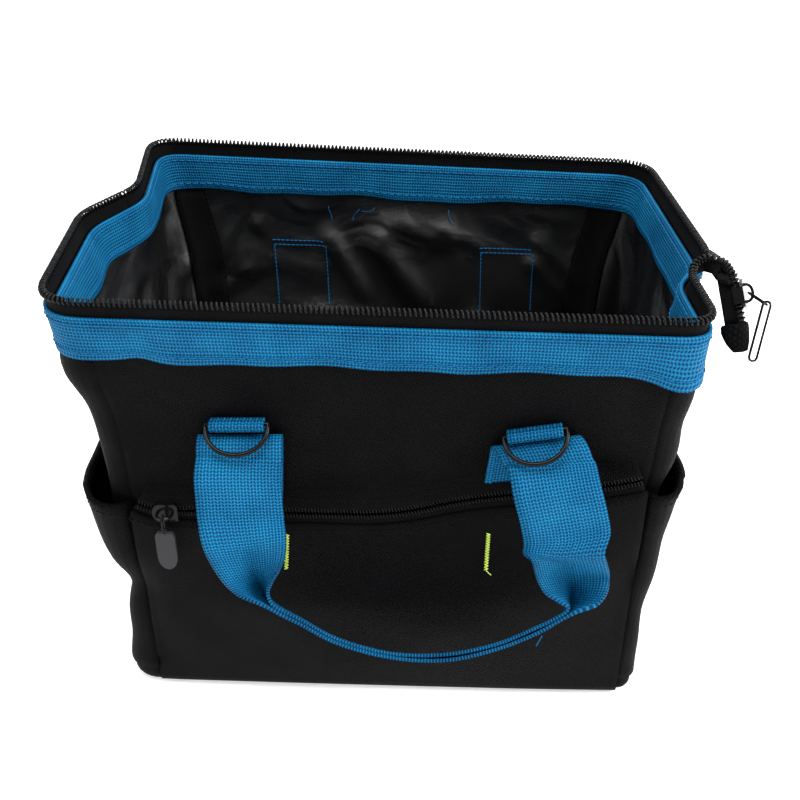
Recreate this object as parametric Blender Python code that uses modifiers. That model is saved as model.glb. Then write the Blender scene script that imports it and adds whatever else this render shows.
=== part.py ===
"""A small open-mouthed tool bag, standing empty with its mouth unzipped.

Metres, +Z up, front towards -Y. The origin lies on the floor under the middle of the base.
"""

import math

import bmesh
import bpy
from mathutils import Matrix, Vector

# Driving sizes of the bag
BASE_WIDTH = 0.257
BASE_DEPTH = 0.188
MOUTH_WIDTH = 0.288
MOUTH_DEPTH = 0.196
BAG_HEIGHT = 0.224
BACK_LEFT_RISE = 0.008
BACK_RIGHT_DROP = 0.007

# Cloth, webbing and the gaps between layers
FABRIC = 0.0015
WEBBING = 0.0016
TAPE = 0.0008
SEAM_GAP = 0.0003
LAYER_GAP = 0.0004

# Walls
BASE_CORNER = 0.022
FOOT_RADIUS = 0.007
SIDE_WAIST = 0.0015
FRONT_BELLY = 0.002
COLUMN_PITCH = 0.011
ROW_PITCH = 0.026
BOTTOM_THICKNESS = 0.002
BOARD_THICKNESS = 0.003
BOTTOM_INSET = 0.0016
BOARD_INSET = 0.0036

# Mouth trim
BAND_HEIGHT = 0.0185
BAND_TOP_DEPTH = 0.0090
MOUTH_TAPE_DEPTH = 0.0105
PANEL_TOP_DEPTH = 0.0112
MOUTH_COIL_RADIUS = 0.0020
MOUTH_TAPE_TOP = 0.0048
STAY_HEIGHT = 0.012
STAY_THICKNESS = 0.0008
STAY_TOP_DEPTH = 0.0125
BINDING_WIDTH = 0.012

# Front pocket and its zip
ZIP_BELOW_HINGE = 0.0359
ZIP_STAND = 0.0044
POCKET_COIL_RADIUS = 0.0015
POCKET_COIL_SPREAD = 0.0022
POCKET_TAPE_WIDTH = 0.0070
POCKET_UPPER_TAPE_WIDTH = 0.0045
POCKET_BULGE = 0.0085
ZIP_RISE = 0.0265
ZIP_END_MARGIN = 0.003

# Side pockets
LEFT_POCKET_ABOVE_ZIP = 0.0020
RIGHT_POCKET_ABOVE_ZIP = 0.0095
SIDE_POCKET_FOOT = 0.012
SIDE_POCKET_GAPE = 0.0062

# Handles
HANDLE_WIDTH = 0.038
HANDLE_STRAP_SPACING = 0.127
HANDLE_DROP = 0.0975
HANDLE_REACH = 0.0128
HANDLE_OUT = 0.0180
HINGE_BELOW_TACK = 0.0060
TACK_BELOW_RING = 0.0081
GRIP_THICKNESS = 0.0042
HINGE_GAP = 0.0002

# D-rings
RING_HALF_WIDTH = 0.0140
RING_DROP = 0.0128
RING_WIRE = 0.00125
RING_BELOW_MOUTH = 0.0565
RING_TILT = math.radians(70)
LOOP_WIDTH = 0.0245
LOOP_TAIL = 0.0040

# Heights above the floor that follow from the bag's own height
RING_HEIGHT = BAG_HEIGHT - RING_BELOW_MOUTH
TACK_HEIGHT = RING_HEIGHT - TACK_BELOW_RING
HINGE_HEIGHT = TACK_HEIGHT - HINGE_BELOW_TACK
ZIP_HEIGHT = HINGE_HEIGHT - ZIP_BELOW_HINGE
LEFT_POCKET_HEIGHT = ZIP_HEIGHT + LEFT_POCKET_ABOVE_ZIP
RIGHT_POCKET_HEIGHT = ZIP_HEIGHT + RIGHT_POCKET_ABOVE_ZIP

# Mouth slider and the free end of the mouth zip
TAIL_START = Vector((0.1535, -0.0620, 0.2240))
TAIL_AIM = Vector((0.16, -0.58, -0.80)).normalized()
TAIL_HANG = Vector((-0.80, 0.05, -0.55))
CHAIN_HALF_GAP = 0.0030
SLIDER_PLACE = 0.009
TAIL_SETTLE = 0.0015
TAIL_LENGTH = 0.0215
TAIL_TAPE_WIDTH = 0.0088
TAB_LENGTH = 0.012
TAB_OVERLAP = 0.0030
TAB_HALF_THICKNESS = 0.0050

# Sliders
PLATE = 0.0012
SLIDER_CLEARANCE = 0.0004
MAIN_SLIDER_LENGTH = 0.0130
MAIN_SLIDER_HALF_WIDTH = 0.0066
POCKET_SLIDER_LENGTH = 0.0120
POCKET_SLIDER_HALF_WIDTH = 0.0050
POCKET_SLIDER_START = 0.0135
LIP = 0.0011
BAIL_WIRE = 0.00075

# Pulls
LINK_WIRE = 0.0006
MAIN_RING_LENGTH = 0.0095
MAIN_RING_HALF_WIDTH = 0.0042
MAIN_RING_LIFT = math.radians(44)
MAIN_TAB_LENGTH = 0.0265
MAIN_TAB_HALF_WIDTH = 0.0016
POCKET_LINK_LENGTH = 0.0105
POCKET_TAB_LENGTH = 0.0215
POCKET_TAB_HALF_WIDTH = 0.0046
POCKET_TAB_THICKNESS = 0.0018

UP = Vector((0, 0, 1))
RIGHT = Vector((1, 0, 0))
ARC_STEPS = 5
CUTTER_OVERRUN = 0.002

# The walls' outline at the floor and at the mouth, anticlockwise from the front left corner:
# base x and y shares of the half sizes, mouth x and y shares, share of the back's rise,
# and how far the corner's rounding reaches along its sides as a share of BASE_CORNER.
OUTLINE_SHARES = (
    ("front_left", (-1.02, -1.0), (-1.014, -1.030), (0, 0), (0.65, 0.85)),
    ("front_right", (1.0, -1.0), (0.965, -1.070), (0, 0), (0.36, 0.65)),
    ("right_fold", (1.0, -0.50), (0.945, -0.580), (0, 0.2), (0.4, 0.40)),
    ("right_crest", (1.0, -0.28), (1.035, -0.370), (0, 0.3), (0.4, 0.40)),
    ("back_right", (1.0, 1.0), (0.980, 0.930), (0, 1.0), (1.0, 0.85)),
    ("back_left", (-1.02, 1.0), (-1.000, 0.930), (1.0, 0), (1.0, 0.80)),
    ("left_fold", (-1.02, 0.40), (-0.995, 0.410), (0.4, 0), (0.4, 0.60)),
    ("left_crest", (-1.02, 0.08), (-1.090, 0.080), (0.2, 0), (0.4, 0.55)),
)

# The hanging handle from its left hinge to its right one, outward towards its hanging side:
# share of half the strap spacing, share of the drop, share of the outward reach, share of the
# width, and how far it has turned from flat (0) to edge-on (1).
HANDLE_SHARES = (
    (-0.975, 0.00, 0.00, 1.00, 0.00),
    (-0.984, 0.12, 0.24, 1.00, 0.00),
    (-0.967, 0.25, 0.50, 1.00, 0.00),
    (-0.958, 0.37, 0.70, 1.00, 0.02),
    (-0.942, 0.49, 0.86, 0.96, 0.10),
    (-0.910, 0.60, 0.96, 0.82, 0.34),
    (-0.800, 0.69, 1.02, 0.62, 0.66),
    (-0.529, 0.79, 1.04, 0.54, 0.96),
    (-0.205, 0.94, 1.04, 0.50, 1.22),
    (0.128, 1.005, 1.02, 0.48, 1.33),
    (0.400, 1.01, 1.00, 0.48, 1.33),
    (0.660, 0.98, 1.00, 0.48, 1.30),
    (0.925, 0.90, 1.00, 0.50, 1.10),
    (1.178, 0.79, 1.00, 0.56, 0.92),
    (1.340, 0.68, 0.99, 0.70, 0.58),
    (1.378, 0.56, 0.96, 0.90, 0.20),
    (1.362, 0.42, 0.86, 1.00, 0.04),
    (1.315, 0.285, 0.70, 1.00, 0.00),
    (1.260, 0.15, 0.36, 1.00, 0.00),
    (1.190, 0.00, 0.00, 1.00, 0.00),
)


def clear_scene():
    for old in list(bpy.data.objects):
        bpy.data.objects.remove(old)


def new_collection(name):
    made = bpy.data.collections.new(name)
    bpy.context.scene.collection.children.link(made)
    return made


def material(name, colour, roughness, metallic=0.0):
    made = bpy.data.materials.new(name)
    made.use_nodes = True
    shader = made.node_tree.nodes["Principled BSDF"]
    shader.inputs["Base Color"].default_value = (*colour, 1.0)
    shader.inputs["Roughness"].default_value = roughness
    shader.inputs["Metallic"].default_value = metallic
    made.diffuse_color = (*colour, 1.0)
    return made


clear_scene()
BAG = new_collection("tool_bag")
SHAPERS = new_collection("shapers")
SHAPERS.hide_render = True

BLACK_FABRIC = material("black_oxford_fabric", (0.012, 0.012, 0.013), 0.85)
COATED_BOARD = material("black_stiffener_board", (0.02, 0.02, 0.02), 0.6)
BLUE_WEBBING = material("blue_webbing", (0.010, 0.185, 0.420), 0.75)
ZIP_TAPE = material("black_zip_tape", (0.014, 0.014, 0.015), 0.9)
ZIP_COIL = material("black_zip_coil", (0.020, 0.020, 0.021), 0.35)
BLACK_METAL = material("black_lacquered_metal", (0.012, 0.012, 0.013), 0.25, 0.8)
STEEL_STRIP = material("spring_steel_strip", (0.45, 0.45, 0.46), 0.4, 1.0)
GREY_RUBBER = material("grey_moulded_pull", (0.055, 0.053, 0.060), 0.6)


def add_object(name, mesh, paint, smooth=True):
    made = bpy.data.objects.new(name, mesh)
    BAG.objects.link(made)
    mesh.materials.append(paint)
    if smooth:
        mesh.shade_smooth()
        mesh.set_sharp_from_angle(angle=math.radians(40))
    return made


def grid_mesh(name, rows, closed=False):
    """An open surface through rows of points; closed joins each row's ends."""
    sheet = bmesh.new()
    made = [[sheet.verts.new(point) for point in row] for row in rows]
    columns = len(rows[0])
    steps = columns if closed else columns - 1
    for low, high in zip(made, made[1:]):
        for i in range(steps):
            j = (i + 1) % columns
            sheet.faces.new((low[i], low[j], high[j], high[i]))
    mesh = bpy.data.meshes.new(name)
    sheet.to_mesh(mesh)
    sheet.free()
    return mesh


def add_sheet(name, rows, thickness, paint, closed=False):
    """A cloth or strip piece: an open surface, thickened evenly about its middle."""
    made = add_object(name, grid_mesh(name, rows, closed), paint)
    shell = made.modifiers.new("thickness", "SOLIDIFY")
    shell.thickness = thickness
    shell.offset = 0
    shell.use_even_offset = True
    return made


def loft_mesh(name, sections):
    """A closed solid through sections with the same number of points."""
    solid = bmesh.new()
    rings = [[solid.verts.new(point) for point in section] for section in sections]
    count = len(sections[0])
    for low, high in zip(rings, rings[1:]):
        for i in range(count):
            j = (i + 1) % count
            solid.faces.new((low[i], low[j], high[j], high[i]))
    solid.faces.new(list(reversed(rings[0])))
    solid.faces.new(rings[-1])
    bmesh.ops.recalc_face_normals(solid, faces=solid.faces[:])
    mesh = bpy.data.meshes.new(name)
    solid.to_mesh(mesh)
    solid.free()
    return mesh


def curve_object(name, points, radius, resolution, cyclic=False):
    line = bpy.data.curves.new(name, "CURVE")
    line.dimensions = "3D"
    line.bevel_depth = radius
    line.bevel_resolution = resolution
    line.use_fill_caps = True
    spline = line.splines.new("POLY")
    spline.points.add(len(points) - 1)
    for target, point in zip(spline.points, points):
        target.co = (*point, 1.0)
    spline.use_cyclic_u = cyclic
    return bpy.data.objects.new(name, line)


def add_wire(name, points, radius, paint, resolution=2, cyclic=False):
    made = curve_object(name, points, radius, resolution, cyclic)
    BAG.objects.link(made)
    made.data.materials.append(paint)
    return made


def outline_object(name, points, height):
    """A flat outline in XY, thickened by height about z = 0."""
    flat = bpy.data.curves.new(name, "CURVE")
    flat.dimensions = "2D"
    flat.fill_mode = "BOTH"
    flat.extrude = height / 2
    spline = flat.splines.new("POLY")
    spline.points.add(len(points) - 1)
    for target, point in zip(spline.points, points):
        target.co = (point[0], point[1], 0, 1.0)
    spline.use_cyclic_u = True
    return bpy.data.objects.new(name, flat)


def as_mesh_object(source, place=None):
    """The evaluated mesh of a curve, with its caps welded on and, if given, moved by a matrix."""
    SHAPERS.objects.link(source)
    bpy.context.view_layer.update()
    graph = bpy.context.evaluated_depsgraph_get()
    mesh = bpy.data.meshes.new_from_object(source.evaluated_get(graph))
    work = bmesh.new()
    work.from_mesh(mesh)
    bmesh.ops.remove_doubles(work, verts=work.verts[:], dist=SEAM_GAP / 30)
    bmesh.ops.recalc_face_normals(work, faces=work.faces[:])
    work.to_mesh(mesh)
    work.free()
    made = bpy.data.objects.new(source.name + "_mesh", mesh)
    mesh.transform(place if place is not None else Matrix.Identity(4))
    bpy.data.objects.remove(source)
    SHAPERS.objects.link(made)
    made.hide_render = True
    made.display_type = "WIRE"
    return made


def box_object(name, low, high):
    mesh = bpy.data.meshes.new(name)
    work = bmesh.new()
    bmesh.ops.create_cube(work, size=1.0)
    size = Vector(high) - Vector(low)
    middle = (Vector(high) + Vector(low)) / 2
    bmesh.ops.transform(
        work,
        matrix=Matrix.Translation(middle) @ Matrix.Diagonal((*size, 1.0)),
        verts=work.verts[:],
    )
    work.to_mesh(mesh)
    work.free()
    made = bpy.data.objects.new(name, mesh)
    SHAPERS.objects.link(made)
    made.hide_render = True
    made.display_type = "WIRE"
    return made


def add_union(name, pieces, paint, place):
    """One solid made of overlapping pieces, all in the same local frame, then placed."""
    first, others = pieces[0], pieces[1:]
    for other in others:
        join = first.modifiers.new("join_" + other.name, "BOOLEAN")
        join.operation = "UNION"
        join.solver = "EXACT"
        join.object = other
    bpy.context.view_layer.update()
    graph = bpy.context.evaluated_depsgraph_get()
    mesh = bpy.data.meshes.new_from_object(first.evaluated_get(graph))
    mesh.name = name
    for piece in pieces:
        bpy.data.objects.remove(piece)
    made = add_object(name, mesh, paint)
    made.matrix_world = place
    return made


def pivot(name, place):
    """An empty on a joint's axis, which carries the pieces that turn or slide there."""
    made = bpy.data.objects.new(name, None)
    BAG.objects.link(made)
    made.location = place
    bpy.context.view_layer.update()
    return made


def carry(made, parent):
    """Parents a piece to an empty and leaves it where it is."""
    bpy.context.view_layer.update()
    world = made.matrix_world.copy()
    made.parent = parent
    made.matrix_parent_inverse = parent.matrix_world.inverted()
    made.matrix_world = world


def rounded_loop(corners, cuts, edge_steps):
    """Points round a polygon whose corners are eased by quadratic curves, and where each edge starts and ends."""
    count = len(corners)
    points, spans = [], []
    for i, corner in enumerate(corners):
        before = (corners[i - 1] - corner).normalized() * cuts[i]
        after = (corners[(i + 1) % count] - corner).normalized() * cuts[i]
        start, end = corner + before, corner + after
        for k in range(ARC_STEPS + 1):
            t = k / ARC_STEPS
            points.append(start * (1 - t) ** 2 + corner * 2 * t * (1 - t) + end * t**2)
        first = len(points) - 1
        following = corners[(i + 1) % count]
        back = (corner - following).normalized() * cuts[(i + 1) % count]
        target = following + back
        for k in range(1, edge_steps[i]):
            points.append(end.lerp(target, k / edge_steps[i]))
        spans.append((first, len(points)))
    return points, spans


def outline_loops():
    half_base = Vector((BASE_WIDTH / 2, BASE_DEPTH / 2))
    half_mouth = Vector((MOUTH_WIDTH / 2, MOUTH_DEPTH / 2))
    base, mouth, base_cuts, mouth_cuts = [], [], [], []
    for _, low, high, rise, cuts in OUTLINE_SHARES:
        base.append(Vector((low[0] * half_base.x, low[1] * half_base.y, 0)))
        lift = rise[0] * BACK_LEFT_RISE - rise[1] * BACK_RIGHT_DROP
        mouth.append(Vector((high[0] * half_mouth.x, high[1] * half_mouth.y, lift)))
        base_cuts.append(cuts[0] * BASE_CORNER)
        mouth_cuts.append(cuts[1] * BASE_CORNER)
    steps = []
    for i, corner in enumerate(base):
        length = (base[(i + 1) % len(base)] - corner).length
        steps.append(max(2, round(length / COLUMN_PITCH)))
    low_points, spans = rounded_loop(base, base_cuts, steps)
    high_points, _ = rounded_loop(mouth, mouth_cuts, steps)
    return low_points, high_points, spans


BASE_LOOP, MOUTH_LOOP, SPANS = outline_loops()
COLUMNS = len(BASE_LOOP)
NAMED_SPAN = {row[0]: SPANS[i] for i, row in enumerate(OUTLINE_SHARES)}
FRONT_START, FRONT_END = NAMED_SPAN["front_left"]
BACK_START, BACK_END = NAMED_SPAN["back_right"]


def ease(share):
    t = min(1.0, max(0.0, share))
    return t * t * (3 - 2 * t)


# How far the walls have leaned from the base outline to the mouth outline, by share of the height
LEAN_SHARES = ((0.0, 0.0), (0.60, 0.0), (0.74, 0.20), (0.82, 0.52), (0.877, 0.68), (0.9185, 0.77), (1.0, 1.0))
LEAN_HEIGHTS = [row[0] * BAG_HEIGHT for row in LEAN_SHARES]


def lean_at(share):
    """The lean between two rows of the table, in a straight line."""
    for (low, first), (high, last) in zip(LEAN_SHARES, LEAN_SHARES[1:]):
        if share <= high:
            return first + (last - first) * (share - low) / (high - low)
    return 1.0


def plan_point(column, height):
    """The wall's middle line in plan at a nominal height, before bellies and the foot's rounding."""
    lean = lean_at(height / BAG_HEIGHT)
    point = BASE_LOOP[column % COLUMNS].lerp(MOUTH_LOOP[column % COLUMNS], lean)
    return Vector((point.x, point.y, 0))


def outward(column, height):
    along = plan_point(column + 1, height) - plan_point(column - 1, height)
    return along.cross(UP).normalized()


def foot_inset(height):
    if height >= FOOT_RADIUS:
        return 0.0
    return FOOT_RADIUS - math.sqrt(FOOT_RADIUS**2 - (FOOT_RADIUS - height) ** 2)


def wall_point(column, height, offset=0.0):
    """A point on the wall at a nominal height, offset outwards from its middle surface."""
    normal = outward(column, height)
    belly = FRONT_BELLY * normal.y**2 - SIDE_WAIST * normal.x**2
    swell = belly * math.sin(math.pi * min(1.0, height / BAG_HEIGHT))
    shift = swell - foot_inset(height) + offset
    point = plan_point(column, height) + normal * shift
    rise = MOUTH_LOOP[column % COLUMNS].z
    point.z = height * (BAG_HEIGHT + rise) / BAG_HEIGHT
    return point


def heights_between(low, high):
    """Row heights, close together at the rounded foot and with a row wherever the lean changes."""
    rows = [low]
    if low < FOOT_RADIUS:
        rows += [low + (FOOT_RADIUS - low) * share for share in (0.35, 1.0)]
    stops = [height for height in LEAN_HEIGHTS if rows[-1] < height < high] + [high]
    for stop in stops:
        start = rows[-1]
        steps = max(1, round((stop - start) / ROW_PITCH))
        rows += [start + (stop - start) * k / steps for k in range(1, steps + 1)]
    return rows


def wall_patch(first, last, heights, offset=0.0):
    return [
        [wall_point(column, height, offset) for column in range(first, last + 1)]
        for height in heights
    ]


def trimmed_ends(rows, gap):
    """Draws the two ends of each row back by a gap, so that neighbours at a seam don't touch."""
    for row in rows:
        row[0] = row[0] + (row[1] - row[0]).normalized() * gap
        row[-1] = row[-1] + (row[-2] - row[-1]).normalized() * gap
    return rows


WALL_FOOT = BOTTOM_THICKNESS + SEAM_GAP
PANEL_TOP = BAG_HEIGHT - PANEL_TOP_DEPTH
WALL_HEIGHTS = heights_between(WALL_FOOT, PANEL_TOP)


def make_walls():
    spans = (
        ("front_panel", FRONT_START, FRONT_END),
        ("right_gusset", FRONT_END, BACK_START),
        ("back_panel", BACK_START, BACK_END),
        ("left_gusset", BACK_END, FRONT_START + COLUMNS),
    )
    for name, first, last in spans:
        rows = wall_patch(first, last, WALL_HEIGHTS)
        add_sheet(name, trimmed_ends(rows, SEAM_GAP), FABRIC, BLACK_FABRIC)


def base_outline(inset):
    points = []
    for column in range(COLUMNS):
        point = BASE_LOOP[column] - outward(column, 0) * inset
        points.append((point.x, point.y))
    return points


def make_bottom():
    bottom = outline_object("bottom_panel", base_outline(BOTTOM_INSET), BOTTOM_THICKNESS)
    BAG.objects.link(bottom)
    bottom.data.materials.append(BLACK_FABRIC)
    bottom.location.z = BOTTOM_THICKNESS / 2
    board = outline_object("base_board", base_outline(BOARD_INSET), BOARD_THICKNESS)
    BAG.objects.link(board)
    board.data.materials.append(COATED_BOARD)
    board.location.z = WALL_FOOT + BOARD_THICKNESS / 2


def make_seam_bindings():
    """The tape that covers each upright seam inside the bag."""
    inside = -(FABRIC / 2 + 2 * LAYER_GAP + TAPE / 2)
    low = WALL_FOOT + BOARD_THICKNESS + FOOT_RADIUS
    high = BAG_HEIGHT - BAND_TOP_DEPTH - BAND_HEIGHT - LAYER_GAP
    seams = (
        ("front_left", FRONT_START, -1),
        ("front_right", FRONT_END, 1),
        ("back_right", BACK_START, -1),
        ("back_left", BACK_END, 1),
    )
    for name, column, corner_side in seams:
        rows = []
        for height in heights_between(low, high):
            round_corner = [wall_point(column + corner_side * k, height, inside) for k in (2, 1, 0)]
            beside = wall_point(column - corner_side, height, inside)
            reach = (beside - round_corner[-1]).normalized() * BINDING_WIDTH / 2
            rows.append([*round_corner, round_corner[-1] + reach])
        add_sheet(f"seam_binding_{name}", rows, TAPE, ZIP_TAPE)


def make_mouth_bands():
    """The webbing sewn round the mouth, one band outside and one inside."""
    top = BAG_HEIGHT - BAND_TOP_DEPTH
    heights = [top - BAND_HEIGHT, top - BAND_HEIGHT / 2, top]
    outside = FABRIC / 2 + LAYER_GAP + WEBBING / 2
    inside = -(FABRIC / 2 + LAYER_GAP + STAY_THICKNESS + LAYER_GAP + WEBBING / 2)
    for name, offset in (("outer_mouth_band", outside), ("inner_mouth_band", inside)):
        rows = wall_patch(0, COLUMNS - 1, heights, offset)
        add_sheet(name, rows, WEBBING, BLUE_WEBBING, closed=True)


def make_stays():
    """The flat springs in the front and back hems, which hold the mouth square."""
    offset = -(FABRIC / 2 + LAYER_GAP + STAY_THICKNESS / 2)
    top = BAG_HEIGHT - STAY_TOP_DEPTH
    heights = [top - STAY_HEIGHT, top]
    front_from = NAMED_SPAN["left_crest"][0]
    back_from = NAMED_SPAN["right_crest"][0] + ARC_STEPS
    spans = (
        ("front_mouth_stay", front_from, FRONT_END + ARC_STEPS + 2 + COLUMNS),
        ("back_mouth_stay", back_from, BACK_END + ARC_STEPS + 2),
    )
    for name, first, last in spans:
        rows = wall_patch(first, last, heights, offset)
        add_sheet(name, trimmed_ends(rows, SEAM_GAP), STAY_THICKNESS, STEEL_STRIP)


# Mouth zip: each side runs along the mouth, leaves the band on the right and meets the other in the slider
TAIL_DOWN = (TAIL_HANG - TAIL_AIM * TAIL_HANG.dot(TAIL_AIM)).normalized()
TAIL_OUT = -TAIL_DOWN
TAIL_SIDE = TAIL_AIM.cross(TAIL_OUT).normalized()

# Free stretches of the two tapes between the band and the tail, as shares of the way from
# the mouth's leaving point to the tail's start, and of a sideways swing and a lift
FREE_LIFT = 0.0030
FREE_SWING = 0.0100
FREE_TAPE_DEPTH = BAND_TOP_DEPTH - SEAM_GAP
FRONT_FREE_SHARES = ((0.10, 0.62, 0.60), (0.36, 1.05, 1.00), (0.66, 1.00, 1.00), (0.88, 0.62, 0.80))
BACK_FREE_SHARES = ((0.34, 0.14, 0.20), (0.70, 0.16, 0.10))


def free_run(leaving, arriving, table):
    """Points and hang directions of a free stretch of tape, which swings wide and lifts on its way."""
    run = []
    for along, swing, lift in table:
        point = leaving.lerp(arriving, along)
        point = point + Vector((0, FREE_SWING * swing, FREE_LIFT * lift))
        run.append((point, (-UP).lerp(TAIL_DOWN, along**2).normalized()))
    return run


def smooth_run(run, steps):
    """A smooth curve through a list of point and direction pairs."""
    result = []
    for i in range(len(run) - 1):
        before = run[max(0, i - 1)][0]
        start, end = run[i][0], run[i + 1][0]
        after = run[min(len(run) - 1, i + 2)][0]
        for k in range(steps):
            t = k / steps
            point = 0.5 * (
                2 * start
                + (end - before) * t
                + (2 * before - 5 * start + 4 * end - after) * t**2
                + (3 * start - before - 3 * end + after) * t**3
            )
            result.append((point, run[i][1].lerp(run[i + 1][1], t).normalized()))
    return result + [run[-1]]


def mouth_run(first, last, step, table, side):
    """The coil's line along the mouth and on to the tail, with the direction in which its tape hangs."""
    line_height = BAG_HEIGHT - MOUTH_COIL_RADIUS
    run = []
    for column in range(first, last, step):
        point = wall_point(column, line_height)
        below = wall_point(column, BAG_HEIGHT - MOUTH_TAPE_DEPTH)
        run.append((point, (below - point).normalized()))
    sewn = len(run)
    chain = TAIL_START + TAIL_SIDE * CHAIN_HALF_GAP * side
    leaving = run[-1][0]
    free = [run[-1], *free_run(leaving, chain, table), (chain, TAIL_DOWN)]
    run += smooth_run(free, 4)[1:]
    run.append((chain + TAIL_AIM * TAIL_SETTLE, TAIL_DOWN))
    run.append((chain + TAIL_AIM * TAIL_LENGTH, TAIL_DOWN))
    return run, sewn


LEFT_SPLIT = NAMED_SPAN["left_fold"][0]
RIGHT_LEAVE_FRONT = NAMED_SPAN["right_fold"][0] - ARC_STEPS // 2
RIGHT_LEAVE_BACK = NAMED_SPAN["right_crest"][0] - ARC_STEPS // 2
FRONT_RUN, FRONT_SEWN = mouth_run(LEFT_SPLIT, RIGHT_LEAVE_FRONT + COLUMNS, 1, FRONT_FREE_SHARES, 1)
BACK_RUN, BACK_SEWN = mouth_run(LEFT_SPLIT, RIGHT_LEAVE_BACK, -1, BACK_FREE_SHARES, -1)


def squared(run):
    """The same run, with each hang direction turned square to the line."""
    result = []
    for i, (point, hang) in enumerate(run):
        along = (run[min(i + 1, len(run) - 1)][0] - run[max(i - 1, 0)][0]).normalized()
        result.append((point, (hang - along * along.dot(hang)).normalized()))
    return result


def make_mouth_zip():
    for name, run, sewn in (("front", FRONT_RUN, FRONT_SEWN), ("back", BACK_RUN, BACK_SEWN)):
        start, ahead = run[0][0], run[1][0]
        drawn = (start + (ahead - start).normalized() * SEAM_GAP, run[0][1])
        run = squared([drawn, *run[1:]])
        coil = add_wire(
            f"mouth_zip_coil_{name}", [p for p, _ in run], MOUTH_COIL_RADIUS, ZIP_COIL, 1
        )
        coil.data.twist_mode = "Z_UP"
        top = MOUTH_TAPE_TOP - MOUTH_COIL_RADIUS
        upper = [p + d * top for p, d in run]
        lower = []
        for i, (point, hang) in enumerate(run):
            depth = MOUTH_TAPE_DEPTH if i < sewn - 2 else FREE_TAPE_DEPTH
            lower.append(point + hang * (depth - MOUTH_COIL_RADIUS))
        add_sheet(f"mouth_zip_tape_{name}", [lower, upper], TAPE, ZIP_TAPE)


def tail_place(along):
    """The tail's own frame: x towards the mouth, z out through the coils, y across them."""
    x, z = -TAIL_AIM, TAIL_OUT
    y = z.cross(x)
    origin = TAIL_START + TAIL_AIM * along
    return Matrix((
        (x.x, y.x, z.x, origin.x),
        (x.y, y.y, z.y, origin.y),
        (x.z, y.z, z.z, origin.z),
        (0, 0, 0, 1),
    ))


def make_tail_tab():
    """The folded cloth tab that closes the end of the mouth zip."""
    wide, thick = TAIL_TAPE_WIDTH, TAB_HALF_THICKNESS
    place = tail_place(TAIL_LENGTH + SEAM_GAP)
    shares = ((0, 0.92, 0.35, 1.0), (0.25, 1.0, 0.35, 0.95), (0.65, 0.85, 0.25, 0.6), (1.0, 0.55, 0.05, 0.25))
    sections = []
    for along, deep, high, across in shares:
        x = -TAB_LENGTH * along
        z_low, z_high = -wide * deep, wide * high * 0.8
        y = thick * across
        corners = ((-y, z_low), (y, z_low), (y * 1.15, (z_low + z_high) / 2), (y, z_high), (-y, z_high), (-y * 1.15, (z_low + z_high) / 2))
        sections.append([place @ Vector((x, cy, cz)) for cy, cz in corners])
    add_object("zip_end_tab", loft_mesh("zip_end_tab", sections), BLACK_FABRIC)


# Front and back walls as straight sheets, which carry the pockets, handles and rings
def straight_wall(first, last):
    """A function of x, height and outward offset on the flat stretch between two columns."""

    def at(x, height, offset=0.0):
        start, end = wall_point(first, height), wall_point(last, height)
        share = (x - start.x) / (end.x - start.x)
        normal = end - start
        normal.z = 0
        normal = normal.cross(UP).normalized()
        point = start.lerp(end, share) + normal * offset
        return Vector((point.x, point.y, height))

    return at


FRONT_AT = straight_wall(FRONT_START, FRONT_END)
BACK_AT = straight_wall(BACK_START, BACK_END)
ZIP_LEFT = wall_point(FRONT_START, ZIP_HEIGHT, ZIP_STAND)
ZIP_RIGHT = wall_point(FRONT_END, ZIP_HEIGHT, ZIP_STAND)
ZIP_ALONG = (ZIP_RIGHT - ZIP_LEFT).normalized()
ZIP_OUT = ZIP_ALONG.cross(UP).normalized()
ZIP_UP = ZIP_OUT.cross(ZIP_ALONG)


# The zip's course across the front: share of half its length, share of its rise
ZIP_COURSE_SHARES = ((-1.0, 0.40), (-0.92, 0.0), (0.05, 0.0), (0.32, 0.40), (0.63, 0.59), (0.85, 0.74), (1.0, 1.0))


def zip_lift(x):
    """How far the zip stands above its straight left part at this x."""
    middle, half = (ZIP_LEFT.x + ZIP_RIGHT.x) / 2, (ZIP_RIGHT.x - ZIP_LEFT.x) / 2
    share = min(1.0, max(-1.0, (x - middle) / half))
    for (low, first), (high, last) in zip(ZIP_COURSE_SHARES, ZIP_COURSE_SHARES[1:]):
        if share <= high:
            return ZIP_RISE * (first + (last - first) * (share - low) / (high - low))
    return ZIP_RISE


def zip_line(shift):
    """Points (x, height) beside the zip's course, shifted square to it and mitred where it turns."""
    middle, half = (ZIP_LEFT.x + ZIP_RIGHT.x) / 2, (ZIP_RIGHT.x - ZIP_LEFT.x) / 2
    places = [ZIP_LEFT.x + ZIP_END_MARGIN]
    places += [middle + half * row[0] for row in ZIP_COURSE_SHARES[1:-1]]
    places.append(ZIP_RIGHT.x - ZIP_END_MARGIN)
    course = [Vector((x, ZIP_HEIGHT + zip_lift(x))) for x in places]
    shifted_points = []
    for i, point in enumerate(course):
        before = (point - course[max(0, i - 1)]).normalized() if i else None
        after = (course[i + 1] - point).normalized() if i + 1 < len(course) else before
        before = before or after
        along = (before + after).normalized()
        normal = Vector((-along.y, along.x))
        shifted_points.append(point + normal * shift / along.dot(after))
    return shifted_points


COIL_EDGE = POCKET_COIL_SPREAD + POCKET_COIL_RADIUS + SEAM_GAP


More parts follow.
